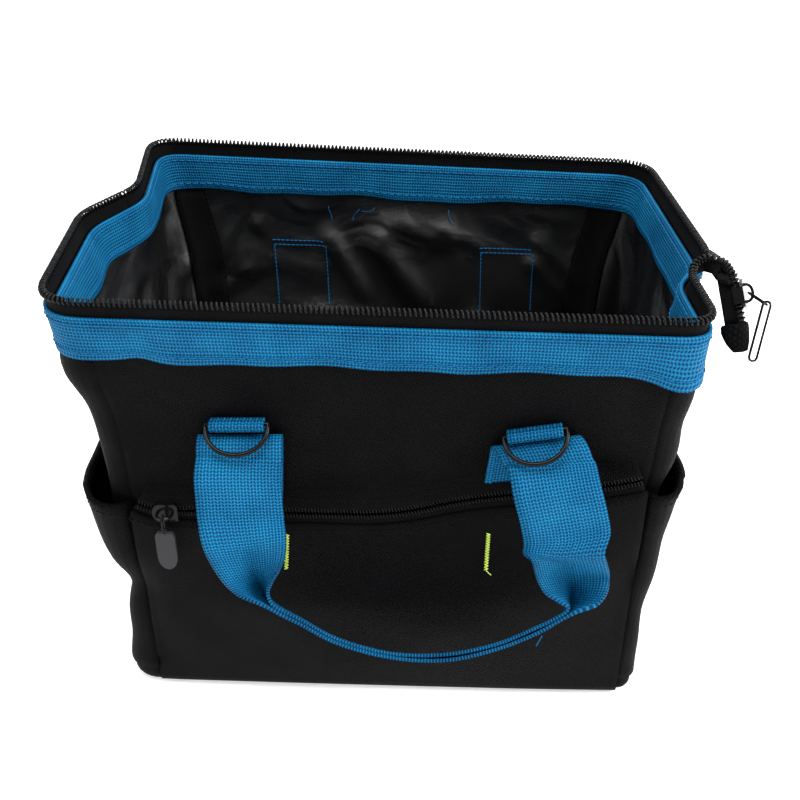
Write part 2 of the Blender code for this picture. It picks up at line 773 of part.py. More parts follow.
def make_pocket_zip():
    near_panel = ZIP_STAND - (FABRIC / 2 + LAYER_GAP + TAPE / 2)
    for name, side, width in (("upper", 1, POCKET_UPPER_TAPE_WIDTH), ("lower", -1, POCKET_TAPE_WIDTH)):
        line = [FRONT_AT(x, height, ZIP_STAND) for x, height in zip_line(POCKET_COIL_SPREAD * side)]
        add_wire(f"pocket_zip_coil_{name}", line, POCKET_COIL_RADIUS, ZIP_COIL, 1)
        rows = []
        for share in (0.0, 0.45, 1.0):
            stand = ZIP_STAND - (near_panel * ease(share) if side > 0 else 0)
            edge = zip_line(side * (COIL_EDGE + width * share))
            rows.append([FRONT_AT(x, height, stand) for x, height in edge])
        add_sheet(f"pocket_zip_tape_{name}", rows, TAPE, ZIP_TAPE)


POCKET_TOP = ZIP_HEIGHT - POCKET_SLIDER_HALF_WIDTH - 2 * SEAM_GAP
POCKET_FLAT = ZIP_STAND + TAPE / 2 + LAYER_GAP + FABRIC / 2
POCKET_CLOSE = FABRIC + LAYER_GAP


def pocket_offset(across, height):
    """How far the front pocket stands off the wall: closed at its foot and sides, round in between."""
    up = height / POCKET_TOP
    body = (1 - abs(across) ** 4) * math.sin(math.pi * 0.82 * up) ** 0.8
    rim = POCKET_FLAT - POCKET_CLOSE
    side = 1 - ease((abs(across) - 0.93) / 0.07)
    fill = ease((up - 0.55) / 0.27)
    return POCKET_CLOSE + POCKET_BULGE * body * side * (1 - fill) + rim * fill


def make_front_pocket():
    rows = []
    middle = (FRONT_START + FRONT_END) / 2
    half = (FRONT_END - FRONT_START) / 2
    for height in heights_between(WALL_FOOT, POCKET_TOP):
        row = []
        for column in range(FRONT_START, FRONT_END + 1):
            across = (column - middle) / half
            stretch = 1 + zip_lift(wall_point(column, height).x) / POCKET_TOP
            row.append(wall_point(column, height * stretch, pocket_offset(across, height)))
        rows.append(row)
    add_sheet("front_pocket_panel", trimmed_ends(rows, SEAM_GAP), FABRIC, BLACK_FABRIC)


def make_side_pockets():
    spans = (
        ("right_side_pocket", FRONT_END, BACK_START, RIGHT_POCKET_HEIGHT),
        ("left_side_pocket", BACK_END, FRONT_START + COLUMNS, LEFT_POCKET_HEIGHT),
    )
    for name, first, last, top in spans:
        middle, half = (first + last) / 2, (last - first) / 2
        rows = []
        for height in heights_between(SIDE_POCKET_FOOT, top):
            up = (height - SIDE_POCKET_FOOT) / (top - SIDE_POCKET_FOOT)
            row = []
            for column in range(first, last + 1):
                across = (column - middle) / half
                gape = SIDE_POCKET_GAPE * (1 - abs(across) ** 3) * ease(0.15 + 0.85 * up)
                row.append(wall_point(column, height, FABRIC + LAYER_GAP + gape))
            rows.append(row)
        add_sheet(name, trimmed_ends(rows, SEAM_GAP), FABRIC, BLACK_FABRIC)


# Handles, their sewn roots and the D-rings, on the front and, mirrored in depth, on the back
class Face:
    """One of the two faces that carry a handle. out is its outward sign along Y."""

    def __init__(self, name, at, out):
        self.name = name
        self.at = at
        self.out = out
        self.strap_y = at(0, HINGE_HEIGHT, HANDLE_REACH).y
        self.axis_y = self.strap_y + out * (WEBBING / 2 + SEAM_GAP)


FRONT = Face("front", FRONT_AT, -1)
BACK = Face("back", BACK_AT, 1)
# Each strap's end: where its sewn foot, its fold, its hinge and its D-ring stand, as shares of half the
# strap spacing. The fold and the ring are tilted in the wall's plane by the last share of a right angle.
SIDE_SHARES = (
    ("left", -1.0, -0.965, -0.975, -0.995, 0.02),
    ("right", 0.93, 1.07, 1.190, 1.07, 0.10),
)
# Each row of the fold: share of the way out, share of the fold's height, share of the tilt,
# and share of the way from the fold's place to the hinge's
ROOT_FOLD_SHARES = (
    (0.0, 0.0, 1.0, 0.0),
    (0.10, 0.55, 1.0, 0.0),
    (0.34, 0.62, 1.0, 0.15),
    (0.68, 0.30, 0.85, 0.40),
    (0.90, -0.35, 0.45, 0.70),
    (1.0, -1.0, 0.0, 1.0),
)
ROOT_GAP_ABOVE_ZIP = 0.0006


def foot_height(x):
    """Where a strap's sewn part ends, just above the zip's upper tape."""
    return ZIP_HEIGHT + zip_lift(x) + COIL_EDGE + POCKET_UPPER_TAPE_WIDTH + ROOT_GAP_ABOVE_ZIP


def make_root(face, shares):
    """The strip of webbing sewn up the wall, which folds over at its tack and ends at the handle's hinge."""
    side, foot, bend, hinge, _, tilt = shares
    reach = HANDLE_STRAP_SPACING / 2
    lean = tilt * math.pi / 2
    seat = FABRIC / 2 + LAYER_GAP + WEBBING / 2
    half = HANDLE_WIDTH / 2
    fold = TACK_HEIGHT - HINGE_HEIGHT
    foot_row, tack_row = [], []
    for s in (-1, 0, 1):
        x = foot * reach + s * half
        foot_row.append((x, foot_height(x)))
        tack_row.append((bend * reach + s * half, TACK_HEIGHT + s * half * math.sin(lean)))
    rows = []
    for share in (0.0, 0.5):
        row = []
        for (x, low), (x_high, high) in zip(foot_row, tack_row):
            row.append(face.at(x + (x_high - x) * share, low + (high - low) * share, seat))
        rows.append(row)
    for out_share, up_share, tilt_share, across_share in ROOT_FOLD_SHARES:
        row = []
        for s in (-1, 0, 1):
            x = (bend + (hinge - bend) * across_share) * reach + s * half
            height = TACK_HEIGHT + fold * up_share + s * half * math.sin(lean) * tilt_share
            inner = face.at(x, height, seat)
            outer = Vector((inner.x, face.strap_y, inner.z))
            row.append(inner.lerp(outer, out_share))
        rows.append(row)
    for i, point in enumerate(rows[-1]):
        rows[-1][i] = Vector((point.x, point.y, HINGE_HEIGHT + HINGE_GAP))
    add_sheet(f"{face.name}_handle_root_{side}", rows, WEBBING, BLUE_WEBBING)


def handle_stations(face):
    """Middle line, width direction, half width and half thickness at each station of the hanging handle."""
    stations = []
    for x, drop, out, width, turn in HANDLE_SHARES:
        point = Vector((
            x * HANDLE_STRAP_SPACING / 2,
            face.strap_y + face.out * HANDLE_OUT * out,
            HINGE_HEIGHT - HINGE_GAP - drop * HANDLE_DROP,
        ))
        stations.append((point, width, turn))
    result = []
    facing = Vector((0, face.out, 0))
    for i, (point, width, turn) in enumerate(stations):
        before = stations[max(0, i - 1)][0]
        after = stations[min(len(stations) - 1, i + 1)][0]
        along = (after - before).normalized()
        if i in (0, len(stations) - 1):
            along = Vector((0, 0, -1 if i == 0 else 1))
        flat = along.cross(facing).normalized() * -face.out
        angle = turn * math.pi / 2
        across = (flat * math.cos(angle) + facing * math.sin(angle)).normalized()
        doubled = ease((1 - width) / 0.45)
        thick = (WEBBING + (GRIP_THICKNESS - WEBBING) * doubled) / 2
        result.append((point, across, along, width * HANDLE_WIDTH / 2, thick))
    return result


def make_handle(face):
    sections = []
    for point, across, along, half, thick in handle_stations(face):
        normal = along.cross(across).normalized()
        corners = ((-1, -1), (0, -1), (1, -1), (1, 1), (0, 1), (-1, 1))
        sections.append([point + across * half * u + normal * thick * v for u, v in corners])
    made = add_object(f"{face.name}_handle", loft_mesh(f"{face.name}_handle", sections), BLUE_WEBBING)
    carry(made, pivot(f"{face.name}_handle_axis", (0, face.axis_y, HINGE_HEIGHT)))


RING_SEAT = FABRIC / 2 + LAYER_GAP + WEBBING + LAYER_GAP + RING_WIRE
RING_STEPS = 14


def ring_centre(face, shares):
    return face.at(shares[4] * HANDLE_STRAP_SPACING / 2, RING_HEIGHT, RING_SEAT)


def ring_axes(shares):
    """The bar's direction and the direction square to it, up the wall."""
    lean = shares[5] * math.pi / 2
    return Vector((math.cos(lean), 0, math.sin(lean))), Vector((-math.sin(lean), 0, math.cos(lean)))


def make_ring(face, shares):
    """A D-ring: a straight bar held in its loop and a half-round bow that leans on the handle's fold."""
    side = shares[0]
    centre = ring_centre(face, shares)
    along, up = ring_axes(shares)
    down = Vector((0, face.out * math.sin(RING_TILT), 0)) - up * math.cos(RING_TILT)
    points = []
    for k in range(RING_STEPS + 1):
        angle = math.pi * k / RING_STEPS
        points.append(
            centre
            + along * RING_HALF_WIDTH * math.cos(angle)
            + down * RING_DROP * math.sin(angle) ** 0.85
        )
    bar = [centre - along * RING_HALF_WIDTH * share for share in (0.5, -0.5)]
    ring = add_wire(f"{face.name}_d_ring_{side}", points + bar, RING_WIRE, BLACK_METAL, 1, cyclic=True)
    carry(ring, pivot(f"{face.name}_d_ring_{side}_axis", centre))


def make_ring_loop(face, shares):
    """The short loop of webbing that holds the D-ring's bar: up the wall, round the bar and back up."""
    seat = FABRIC / 2 + LAYER_GAP + WEBBING / 2
    reach = RING_SEAT - seat
    x_middle = shares[4] * HANDLE_STRAP_SPACING / 2
    along, up = ring_axes(shares)
    profile = [(seat, LOOP_TAIL), (seat, LOOP_TAIL / 3)]
    for k in range(7):
        angle = math.pi * k / 6
        profile.append((RING_SEAT - reach * math.cos(angle), -reach * math.sin(angle)))
    profile.append((RING_SEAT + reach, LOOP_TAIL * 0.45))
    profile.append((seat + WEBBING + LAYER_GAP, LOOP_TAIL))
    rows = []
    for offset, rise in profile:
        row = []
        for s in (-1, 1):
            place = along * s * LOOP_WIDTH / 2 + up * rise
            row.append(face.at(x_middle + place.x, RING_HEIGHT + place.z, offset))
        rows.append(row)
    add_sheet(f"{face.name}_d_ring_loop_{shares[0]}", rows, WEBBING, BLUE_WEBBING)


def make_handles():
    for face in (FRONT, BACK):
        make_handle(face)
        for shares in SIDE_SHARES:
            make_root(face, shares)
            make_ring_loop(face, shares)
            make_ring(face, shares)


def nose_outline(length, half_width, nose_share):
    """A slider plate seen from above: square at its tail, rounded and drawn in at its nose (+x)."""
    tail, shoulder = -length / 2, length * 0.18
    points = [(tail, half_width * nose_share), (tail, -half_width * nose_share)]
    points += [(tail + length * 0.10, -half_width)]
    nose = length / 2 - shoulder
    for k in range(9):
        angle = math.pi * (k / 8 - 0.5)
        points.append((shoulder + nose * math.cos(angle), half_width * math.sin(angle)))
    points += [(tail + length * 0.10, half_width)]
    return points


def shifted(made, z):
    made.data.transform(Matrix.Translation((0, 0, z)))
    return made


def bail_points(half_length, height, base):
    points = []
    for k in range(11):
        angle = math.pi * k / 10
        points.append((half_length * math.cos(angle), 0, base + height * math.sin(angle) ** 0.7))
    return points


BAIL_SINK = 0.0004


def slider_pieces(length, half_width, coil, spread, lip_low, inner_half, bail_height, post_half):
    """Upper plate with side lips, inner plate, the post between them and the bail."""
    top = coil + SLIDER_CLEARANCE
    plate = shifted(as_mesh_object(outline_object("upper_plate", nose_outline(length, half_width, 0.8), PLATE)), top + PLATE / 2)
    pieces = [plate]
    overlap = PLATE / 2
    for side in (-1, 1):
        outer = side * (half_width - LIP / 6)
        inner = side * (half_width - LIP)
        low = (-length * 0.38, min(outer, inner), lip_low)
        high = (length * 0.18, max(outer, inner), top + overlap)
        pieces.append(box_object("lip", low, high))
    under = -(coil + SLIDER_CLEARANCE + PLATE)
    inner = as_mesh_object(outline_object("inner_plate", nose_outline(length * 0.92, inner_half, 0.8), PLATE))
    pieces.append(shifted(inner, under + PLATE / 2))
    post_low = (length * 0.22, -post_half, under + overlap)
    post_high = (length * 0.42, post_half, top + overlap)
    pieces.append(box_object("post", post_low, post_high))
    bail = curve_object("bail", bail_points(length * 0.30, bail_height, top + PLATE - BAIL_SINK), BAIL_WIRE, 1)
    pieces.append(as_mesh_object(bail))
    return pieces


MAIN_BAIL_HEIGHT = 0.0036
MAIN_RING_SEAT = MOUTH_COIL_RADIUS + SLIDER_CLEARANCE + PLATE + LINK_WIRE + 2 * SLIDER_CLEARANCE
POCKET_BAIL_HEIGHT = 0.0046
TAB_REACH = 2 * LINK_WIRE + SEAM_GAP


def loop_points(length, half_width, end_steps=4):
    """A long closed link in XY with round ends, its near end's middle at the origin, running to -x."""
    points = []
    radius = half_width
    for end, start_angle in ((-radius, -0.5), (-(length - radius), 0.5)):
        for k in range(end_steps + 1):
            angle = math.pi * (start_angle + k / end_steps)
            points.append((end + radius * math.cos(angle), radius * math.sin(angle)))
    return points


def make_main_slider():
    place = tail_place(SLIDER_PLACE)
    pieces = slider_pieces(
        MAIN_SLIDER_LENGTH,
        MAIN_SLIDER_HALF_WIDTH,
        MOUTH_COIL_RADIUS,
        CHAIN_HALF_GAP,
        -MOUTH_COIL_RADIUS / 2,
        CHAIN_HALF_GAP - TAPE / 2 - SLIDER_CLEARANCE,
        MAIN_BAIL_HEIGHT,
        CHAIN_HALF_GAP - MOUTH_COIL_RADIUS - SLIDER_CLEARANCE,
    )
    slider = add_union("mouth_slider", pieces, BLACK_METAL, place)
    slide = pivot("mouth_slider_track", place.translation)
    carry(slider, slide)
    seat = place @ Matrix.Translation((0, 0, MAIN_RING_SEAT))
    ring_turn = Matrix.Rotation(MAIN_RING_LIFT, 4, "Y")
    ring_frame = seat @ ring_turn
    ring_points = [ring_frame @ Vector((x, y, 0)) for x, y in loop_points(MAIN_RING_LENGTH, MAIN_RING_HALF_WIDTH)]
    ring = add_wire("mouth_pull_ring", ring_points, LINK_WIRE, BLACK_METAL, 1, cyclic=True)
    ring_axis = pivot("mouth_pull_ring_axis", seat.translation)
    carry(ring_axis, slide)
    carry(ring, ring_axis)
    far = ring_frame @ Vector((-MAIN_RING_LENGTH, 0, 0))
    y = seat.to_3x3() @ Vector((0, 1, 0))
    down = (-UP + y * y.dot(UP)).normalized()
    x = -down
    z = x.cross(y)
    tab_frame = Matrix((
        (x.x, y.x, z.x, far.x),
        (x.y, y.y, z.y, far.y),
        (x.z, y.z, z.z, far.z),
        (0, 0, 0, 1),
    ))
    # The tab's plane stands square to the ring's bar, so the two links hang in each other
    tab_points = [
        tab_frame @ Vector((px + TAB_REACH, 0, py))
        for px, py in loop_points(MAIN_TAB_LENGTH, MAIN_TAB_HALF_WIDTH)
    ]
    tab = add_wire("mouth_pull_tab", tab_points, LINK_WIRE, BLACK_METAL, 1, cyclic=True)
    tab_axis = pivot("mouth_pull_tab_axis", far)
    carry(tab_axis, ring_axis)
    carry(tab, tab_axis)
    return place, seat.translation, far


def zip_place(along):
    """The pocket slider's frame: x towards the open left end, z out of the wall, y across the coils."""
    x, z = -ZIP_ALONG, ZIP_OUT
    y = z.cross(x)
    origin = ZIP_LEFT + ZIP_ALONG * (ZIP_END_MARGIN + along)
    return Matrix((
        (x.x, y.x, z.x, origin.x),
        (x.y, y.y, z.y, origin.y),
        (x.z, y.z, z.z, origin.z),
        (0, 0, 0, 1),
    ))


def make_pocket_slider():
    place = zip_place(POCKET_SLIDER_START)
    pieces = slider_pieces(
        POCKET_SLIDER_LENGTH,
        POCKET_SLIDER_HALF_WIDTH,
        POCKET_COIL_RADIUS,
        POCKET_COIL_SPREAD,
        TAPE / 2 + SLIDER_CLEARANCE,
        POCKET_SLIDER_HALF_WIDTH - LIP,
        POCKET_BAIL_HEIGHT,
        POCKET_COIL_SPREAD - POCKET_COIL_RADIUS - SLIDER_CLEARANCE,
    )
    slider = add_union("pocket_slider", pieces, BLACK_METAL, place)
    slide = pivot("pocket_slider_track", place.translation)
    carry(slider, slide)
    bail_top = POCKET_COIL_RADIUS + SLIDER_CLEARANCE + PLATE - BAIL_SINK + POCKET_BAIL_HEIGHT
    axis_point = place @ Vector((0, 0, bail_top))
    swing = pivot("pocket_pull_axis", axis_point)
    carry(swing, slide)
    # The link is threaded on the bail and hangs in the plane square to the zip
    link_half = BAIL_WIRE + LINK_WIRE + SLIDER_CLEARANCE
    out, down = ZIP_OUT, -ZIP_UP
    head = BAIL_WIRE + LINK_WIRE + SLIDER_CLEARANCE
    link_points = [
        axis_point + down * (-px - head) + out * py
        for px, py in loop_points(POCKET_LINK_LENGTH, link_half)
    ]
    link = as_mesh_object(curve_object("link", link_points, LINK_WIRE, 1, cyclic=True))
    tab_top = POCKET_LINK_LENGTH - head - 2 * LINK_WIRE
    tab_outline = nose_outline(POCKET_TAB_LENGTH, POCKET_TAB_HALF_WIDTH, 0.75)
    tab = as_mesh_object(outline_object("tab", tab_outline, POCKET_TAB_THICKNESS))
    middle = axis_point + down * (tab_top + POCKET_TAB_LENGTH / 2)
    x, z = down, out
    y = z.cross(x)
    tab.data.transform(Matrix((
        (x.x, y.x, z.x, middle.x),
        (x.y, y.y, z.y, middle.y),
        (x.z, y.z, z.z, middle.z),
        (0, 0, 0, 1),
    )))
    pull = add_union("pocket_pull", [tab, link], GREY_RUBBER, Matrix.Identity(4))
    carry(pull, swing)
    return place, axis_point


make_walls()
make_bottom()
make_seam_bindings()
make_mouth_bands()
make_stays()
make_mouth_zip()
make_tail_tab()
make_pocket_zip()
make_front_pocket()
make_side_pockets()
make_handles()
MAIN_SLIDER_FRAME, MAIN_RING_AXIS, MAIN_TAB_AXIS = make_main_slider()
POCKET_SLIDER_FRAME, POCKET_PULL_AXIS = make_pocket_slider()

print("front zip runs along", tuple(round(v, 4) for v in ZIP_ALONG))
print("tail aim", tuple(round(v, 4) for v in TAIL_AIM), "across", tuple(round(v, 4) for v in TAIL_SIDE))
print("slider at", tuple(round(v, 4) for v in MAIN_SLIDER_FRAME.translation))
print("pull ring axis at", tuple(round(v, 4) for v in MAIN_RING_AXIS))
print("pull tab axis at", tuple(round(v, 4) for v in MAIN_TAB_AXIS))
print("pocket slider at", tuple(round(v, 4) for v in POCKET_SLIDER_FRAME.translation))
print("pocket pull axis at", tuple(round(v, 4) for v in POCKET_PULL_AXIS))
for shown in (FRONT, BACK):
    print(shown.name, "handle axis", round(shown.axis_y, 4), round(HINGE_HEIGHT, 4))
    for row in SIDE_SHARES:
        place_of_ring = ring_centre(shown, row)
        bar = tuple(round(v, 4) for v in ring_axes(row)[0])
        print(shown.name, row[0], "ring axis at", tuple(round(v, 4) for v in place_of_ring), "along", bar)
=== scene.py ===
# %% [markdown]
# # A tool bag with its mouth unzipped
# This lesson dresses a measured frame of a small tool bag: black woven cloth, blue webbing
# round the mouth and in the handles, coil zips, and black metal D-rings. The frame gives every
# size. Each step says what the piece is on the real bag, how it could be made, and why this
# way was chosen. Lengths are in metres.

# %% Load the frame
import math
import random

import bmesh
import bpy
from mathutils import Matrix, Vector, noise


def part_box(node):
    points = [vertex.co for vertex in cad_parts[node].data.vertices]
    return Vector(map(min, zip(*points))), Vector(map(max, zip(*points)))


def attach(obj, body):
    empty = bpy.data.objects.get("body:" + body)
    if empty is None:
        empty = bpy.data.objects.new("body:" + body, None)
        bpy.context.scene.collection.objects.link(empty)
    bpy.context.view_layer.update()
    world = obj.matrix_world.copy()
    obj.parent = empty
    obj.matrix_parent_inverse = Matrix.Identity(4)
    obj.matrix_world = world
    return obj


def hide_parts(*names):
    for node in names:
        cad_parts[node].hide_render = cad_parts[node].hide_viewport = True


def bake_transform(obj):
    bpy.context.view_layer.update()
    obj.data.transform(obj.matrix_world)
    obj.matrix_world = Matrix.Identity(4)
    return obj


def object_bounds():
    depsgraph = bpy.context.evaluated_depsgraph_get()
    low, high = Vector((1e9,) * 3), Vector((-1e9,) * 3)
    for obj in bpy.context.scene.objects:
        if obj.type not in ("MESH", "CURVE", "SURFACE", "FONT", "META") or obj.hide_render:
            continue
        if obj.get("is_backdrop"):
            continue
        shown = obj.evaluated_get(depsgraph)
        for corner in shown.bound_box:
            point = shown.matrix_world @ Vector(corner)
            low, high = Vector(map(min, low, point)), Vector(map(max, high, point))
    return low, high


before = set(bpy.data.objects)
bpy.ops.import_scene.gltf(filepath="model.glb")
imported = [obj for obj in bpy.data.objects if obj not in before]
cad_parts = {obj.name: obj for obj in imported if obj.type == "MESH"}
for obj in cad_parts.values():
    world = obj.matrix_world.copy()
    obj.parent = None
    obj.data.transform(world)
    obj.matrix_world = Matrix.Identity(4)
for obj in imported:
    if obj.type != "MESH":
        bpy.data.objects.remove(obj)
frame_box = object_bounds()
random.seed(4)
print("nodes:", len(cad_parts))

# %% [markdown]
# ## Camera and light
# The photograph looks down into the mouth from the front. A camera could be set by eye, but a
# fit of the bag's corners gives its place and lens exactly, so those numbers are used. The
# light is a pale room with four square lamps: one above, one at each side and one behind. The
# room is brightest at the horizon, where it meets the floor, and dimmer overhead.

# %% Camera
camera_lens = 47.385
camera_place = Vector((0.0230, -0.4902, 0.4161))
camera_tilt = math.radians(90 - 31.2)
camera_turn = math.radians(2.09)

view = bpy.data.cameras.new("view")
view.lens = camera_lens
view.sensor_width = 36
view.clip_start = 0.01
view.clip_end = 200
viewer = bpy.data.objects.new("view", view)
viewer.location = camera_place
viewer.rotation_euler = (camera_tilt, 0, camera_turn)
bpy.context.scene.collection.objects.link(viewer)
bpy.context.scene.camera = viewer
print("camera at", tuple(camera_place), "lens", camera_lens)


# %% Lamps, floor and room
def lamp(name, place, aim, size, power):
    """A square area lamp that looks at a point."""
    data = bpy.data.lights.new(name, "AREA")
    data.shape = "SQUARE"
    data.size = size
    data.energy = power
    made = bpy.data.objects.new(name, data)
    made.location = place
    made.rotation_euler = (Vector(aim) - Vector(place)).to_track_quat("-Z", "Y").to_euler()
    bpy.context.scene.collection.objects.link(made)


bag_middle = (0, 0, 0.12)
lamp("top_lamp", (-0.10, -0.25, 1.35), bag_middle, 0.8, 16)
lamp("left_lamp", (-1.15, -0.55, 0.85), bag_middle, 0.7, 6)
lamp("right_lamp", (1.15, -0.30, 0.80), bag_middle, 0.7, 22)
lamp("back_lamp", (0.1, 1.1, 1.0), bag_middle, 0.6, 7)

# The sky's strength falls from 1 to 0.42 as its direction rises
sky_ramp = (("From Min", 0.03), ("From Max", 0.16), ("To Min", 1.0), ("To Max", 0.42))
room = bpy.data.worlds.new("room")
room.use_nodes = True
sky = room.node_tree
sky.nodes["Background"].inputs["Color"].default_value = (1, 1, 1, 1)
direction = sky.nodes.new("ShaderNodeTexCoord")
parts = sky.nodes.new("ShaderNodeSeparateXYZ")
dimmer = sky.nodes.new("ShaderNodeMapRange")
for socket, value in sky_ramp:
    dimmer.inputs[socket].default_value = value
sky.links.new(direction.outputs["Generated"], parts.inputs["Vector"])
sky.links.new(parts.outputs["Z"], dimmer.inputs["Value"])
sky.links.new(dimmer.outputs["Result"], sky.nodes["Background"].inputs["Strength"])
bpy.context.scene.world = room
bpy.context.scene.view_settings.view_transform = "Standard"

floor_half = 40
floor_mesh = bpy.data.meshes.new("floor")
floor_mesh.from_pydata(
    [(x * floor_half, y * floor_half, 0) for x, y in ((-1, -1), (1, -1), (1, 1), (-1, 1))], [], [(0, 1, 2, 3)]
)
floor = bpy.data.objects.new("floor", floor_mesh)
bpy.context.scene.collection.objects.link(floor)
floor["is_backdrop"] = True
print("lamps: 4, floor: 1")

# %% [markdown]
# ## Finishes
# Every finish is a small tree of nodes on one shader. The cloth pieces carry a second set of
# coordinates, "cloth", in which one unit is one metre along and across the weave, so a thread
# has the same size on every piece and follows each bend.


# %% A starting point for every finish
def new_finish(name, colour, roughness, specular=0.5, metallic=0.0):
    """A shader with its plain values set, and its node tree and shader to build on."""
    finish = bpy.data.materials.new(name)
    finish.use_nodes = True
    finish.diffuse_color = (*colour, 1)
    tree = finish.node_tree
    shader = tree.nodes["Principled BSDF"]
    shader.inputs["Base Color"].default_value = (*colour, 1)
    shader.inputs["Roughness"].default_value = roughness
    shader.inputs["Specular IOR Level"].default_value = specular
    shader.inputs["Metallic"].default_value = metallic
    return finish, tree, shader


def node(tree, kind, **settings):
    """A node with settings: a plain name sets a property, and inputs=... sets its sockets."""
    made = tree.nodes.new(kind)
    for key, value in settings.items():
        if key == "inputs":
            for socket, amount in value.items():
                made.inputs[socket].default_value = amount
        else:
            setattr(made, key, value)
    return made


def math_node(tree, operation, *values):
    """The result of one operation on sockets and plain numbers."""
    made = node(tree, "ShaderNodeMath", operation=operation)
    for socket, value in zip(made.inputs, values):
        if hasattr(value, "links"):
            tree.links.new(value, socket)
        else:
            socket.default_value = value
    return made.outputs[0]


def bumped(tree, shader, height, strength, distance):
    """Sends a height to the shader as a bump."""
    bump = node(tree, "ShaderNodeBump", inputs={"Strength": strength, "Distance": distance})
    tree.links.new(height, bump.inputs["Height"])
    tree.links.new(bump.outputs["Normal"], shader.inputs["Normal"])


def coloured(tree, shader, factor, colours):
    """The shader's colour, from a factor and evenly spaced colours."""
    ramp = node(tree, "ShaderNodeValToRGB")
    stops = ramp.color_ramp.elements
    while len(stops) < len(colours):
        stops.new(0.5)
    for i, colour in enumerate(colours):
        stops[i].position = i / (len(colours) - 1)
        stops[i].color = (*colour, 1)
    tree.links.new(factor, ramp.inputs["Fac"])
    tree.links.new(ramp.outputs["Color"], shader.inputs["Base Color"])


def glossed(tree, shader, factor, low, high):
    """The shader's roughness, from a factor."""
    gloss = node(tree, "ShaderNodeMapRange", inputs={"To Min": low, "To Max": high})
    tree.links.new(factor, gloss.inputs["Value"])
    tree.links.new(gloss.outputs["Result"], shader.inputs["Roughness"])


def split(tree, vector):
    """The x, y and z of a vector socket."""
    parts = node(tree, "ShaderNodeSeparateXYZ")
    tree.links.new(vector, parts.inputs["Vector"])
    return parts.outputs


def object_noise(tree, **values):
    """Noise in the object's own space."""
    body = node(tree, "ShaderNodeTexCoord")
    made = node(tree, "ShaderNodeTexNoise", inputs=values)
    tree.links.new(body.outputs["Object"], made.inputs["Vector"])
    return made.outputs["Fac"]


# %% [markdown]
# The webbing is a thick even weave. Between its threads is a grid of small dark pores, and each
# row of them leans the other way from the last. The cloth and the zip's tape are finer: rows of
# plump floats, half a float out of step with the next. Blender's brick pattern has that layout,
# but its bricks are flat with thin joints. Two waves multiplied give rounded floats and pores.


# %% Woven finishes
def wave(tree, operation, value):
    """A row of round humps from 0 to 1, one for each whole step of a value."""
    angle = math_node(tree, "MULTIPLY", value, math.pi)
    return math_node(tree, "ABSOLUTE", math_node(tree, operation, angle))


def floats(tree, along, across, turn=0.0):
    """A weave's height: 0 in the gaps and 1 on each float, for threads so long and so wide in metres."""
    source = node(tree, "ShaderNodeUVMap", uv_map="cloth")
    scale = node(tree, "ShaderNodeMapping")
    scale.inputs["Scale"].default_value = (1 / along, 1 / across, 1)
    scale.inputs["Rotation"].default_value = (0, 0, turn)
    tree.links.new(source.outputs["UV"], scale.inputs["Vector"])
    x, y, _ = split(tree, scale.outputs["Vector"])
    step = math_node(tree, "MULTIPLY_ADD", math_node(tree, "FLOOR", y), 0.5, x)
    hump = math_node(tree, "MULTIPLY", wave(tree, "SINE", step), wave(tree, "SINE", y))
    return math_node(tree, "SQRT", hump)


def pores(tree, along, across):
    """A weave's height: 0 in each pore of a grid, whose rows lean one way and the other."""
    source = node(tree, "ShaderNodeUVMap", uv_map="cloth")
    parts = split(tree, source.outputs["UV"])
    x = math_node(tree, "DIVIDE", parts["X"], along)
    y = math_node(tree, "DIVIDE", parts["Y"], across)
    zigzag = math_node(tree, "PINGPONG", math_node(tree, "ADD", y, 0.5), 1.0)
    leaning = math_node(tree, "MULTIPLY_ADD", zigzag, 0.4, x)
    pore = math_node(tree, "MULTIPLY", wave(tree, "COSINE", leaning), wave(tree, "COSINE", y))
    return math_node(tree, "SUBTRACT", 1.0, pore)


def woven_finish(name, colours, thread, roughness, specular, bump, turn=None):
    """A weave of staggered floats, or of pores where it has no turn. It is cloudy where it is worn."""
    finish, tree, shader = new_finish(name, colours[1], roughness, specular)
    weave = pores(tree, *thread) if turn is None else floats(tree, *thread, turn)
    worn = object_noise(tree, Scale=55.0, Detail=4.0)
    tone = math_node(tree, "MULTIPLY_ADD", weave, 0.72, math_node(tree, "MULTIPLY", worn, 0.42))
    coloured(tree, shader, math_node(tree, "SUBTRACT", tone, 0.12), colours)
    bumped(tree, shader, weave, 0.9, bump)
    return finish


handle_width = 0.038
blue_webbing = woven_finish(
    "blue_webbing", ((0.0, 0.008, 0.030), (0.0, 0.085, 0.215), (0.016, 0.240, 0.45)),
    (0.00150, handle_width / 26), 0.6, 0.08, 0.0005,
)
black_cloth = woven_finish(
    "black_cloth", ((0.0002, 0.0002, 0.0003), (0.0010, 0.0010, 0.0012), (0.0066, 0.0066, 0.0076)),
    (0.0011, 0.0011), 0.60, 0.045, 0.00032, turn=math.pi / 4,
)
zip_tape = woven_finish(
    "zip_tape", ((0.0006, 0.0006, 0.0007), (0.0022, 0.0022, 0.0025), (0.007, 0.007, 0.0075)),
    (0.0014, 0.00075), 0.85, 0.08, 0.0002, turn=0.0,
)


# %% [markdown]
# Inside, the cloth has a waterproof coating. It is smooth and shines, and it shows every crease.
# The big creases are in the mesh. The bump adds the smaller ones, and the weave under the coat.
# The noise is raised to a power, which leaves flat ground between sharper folds.


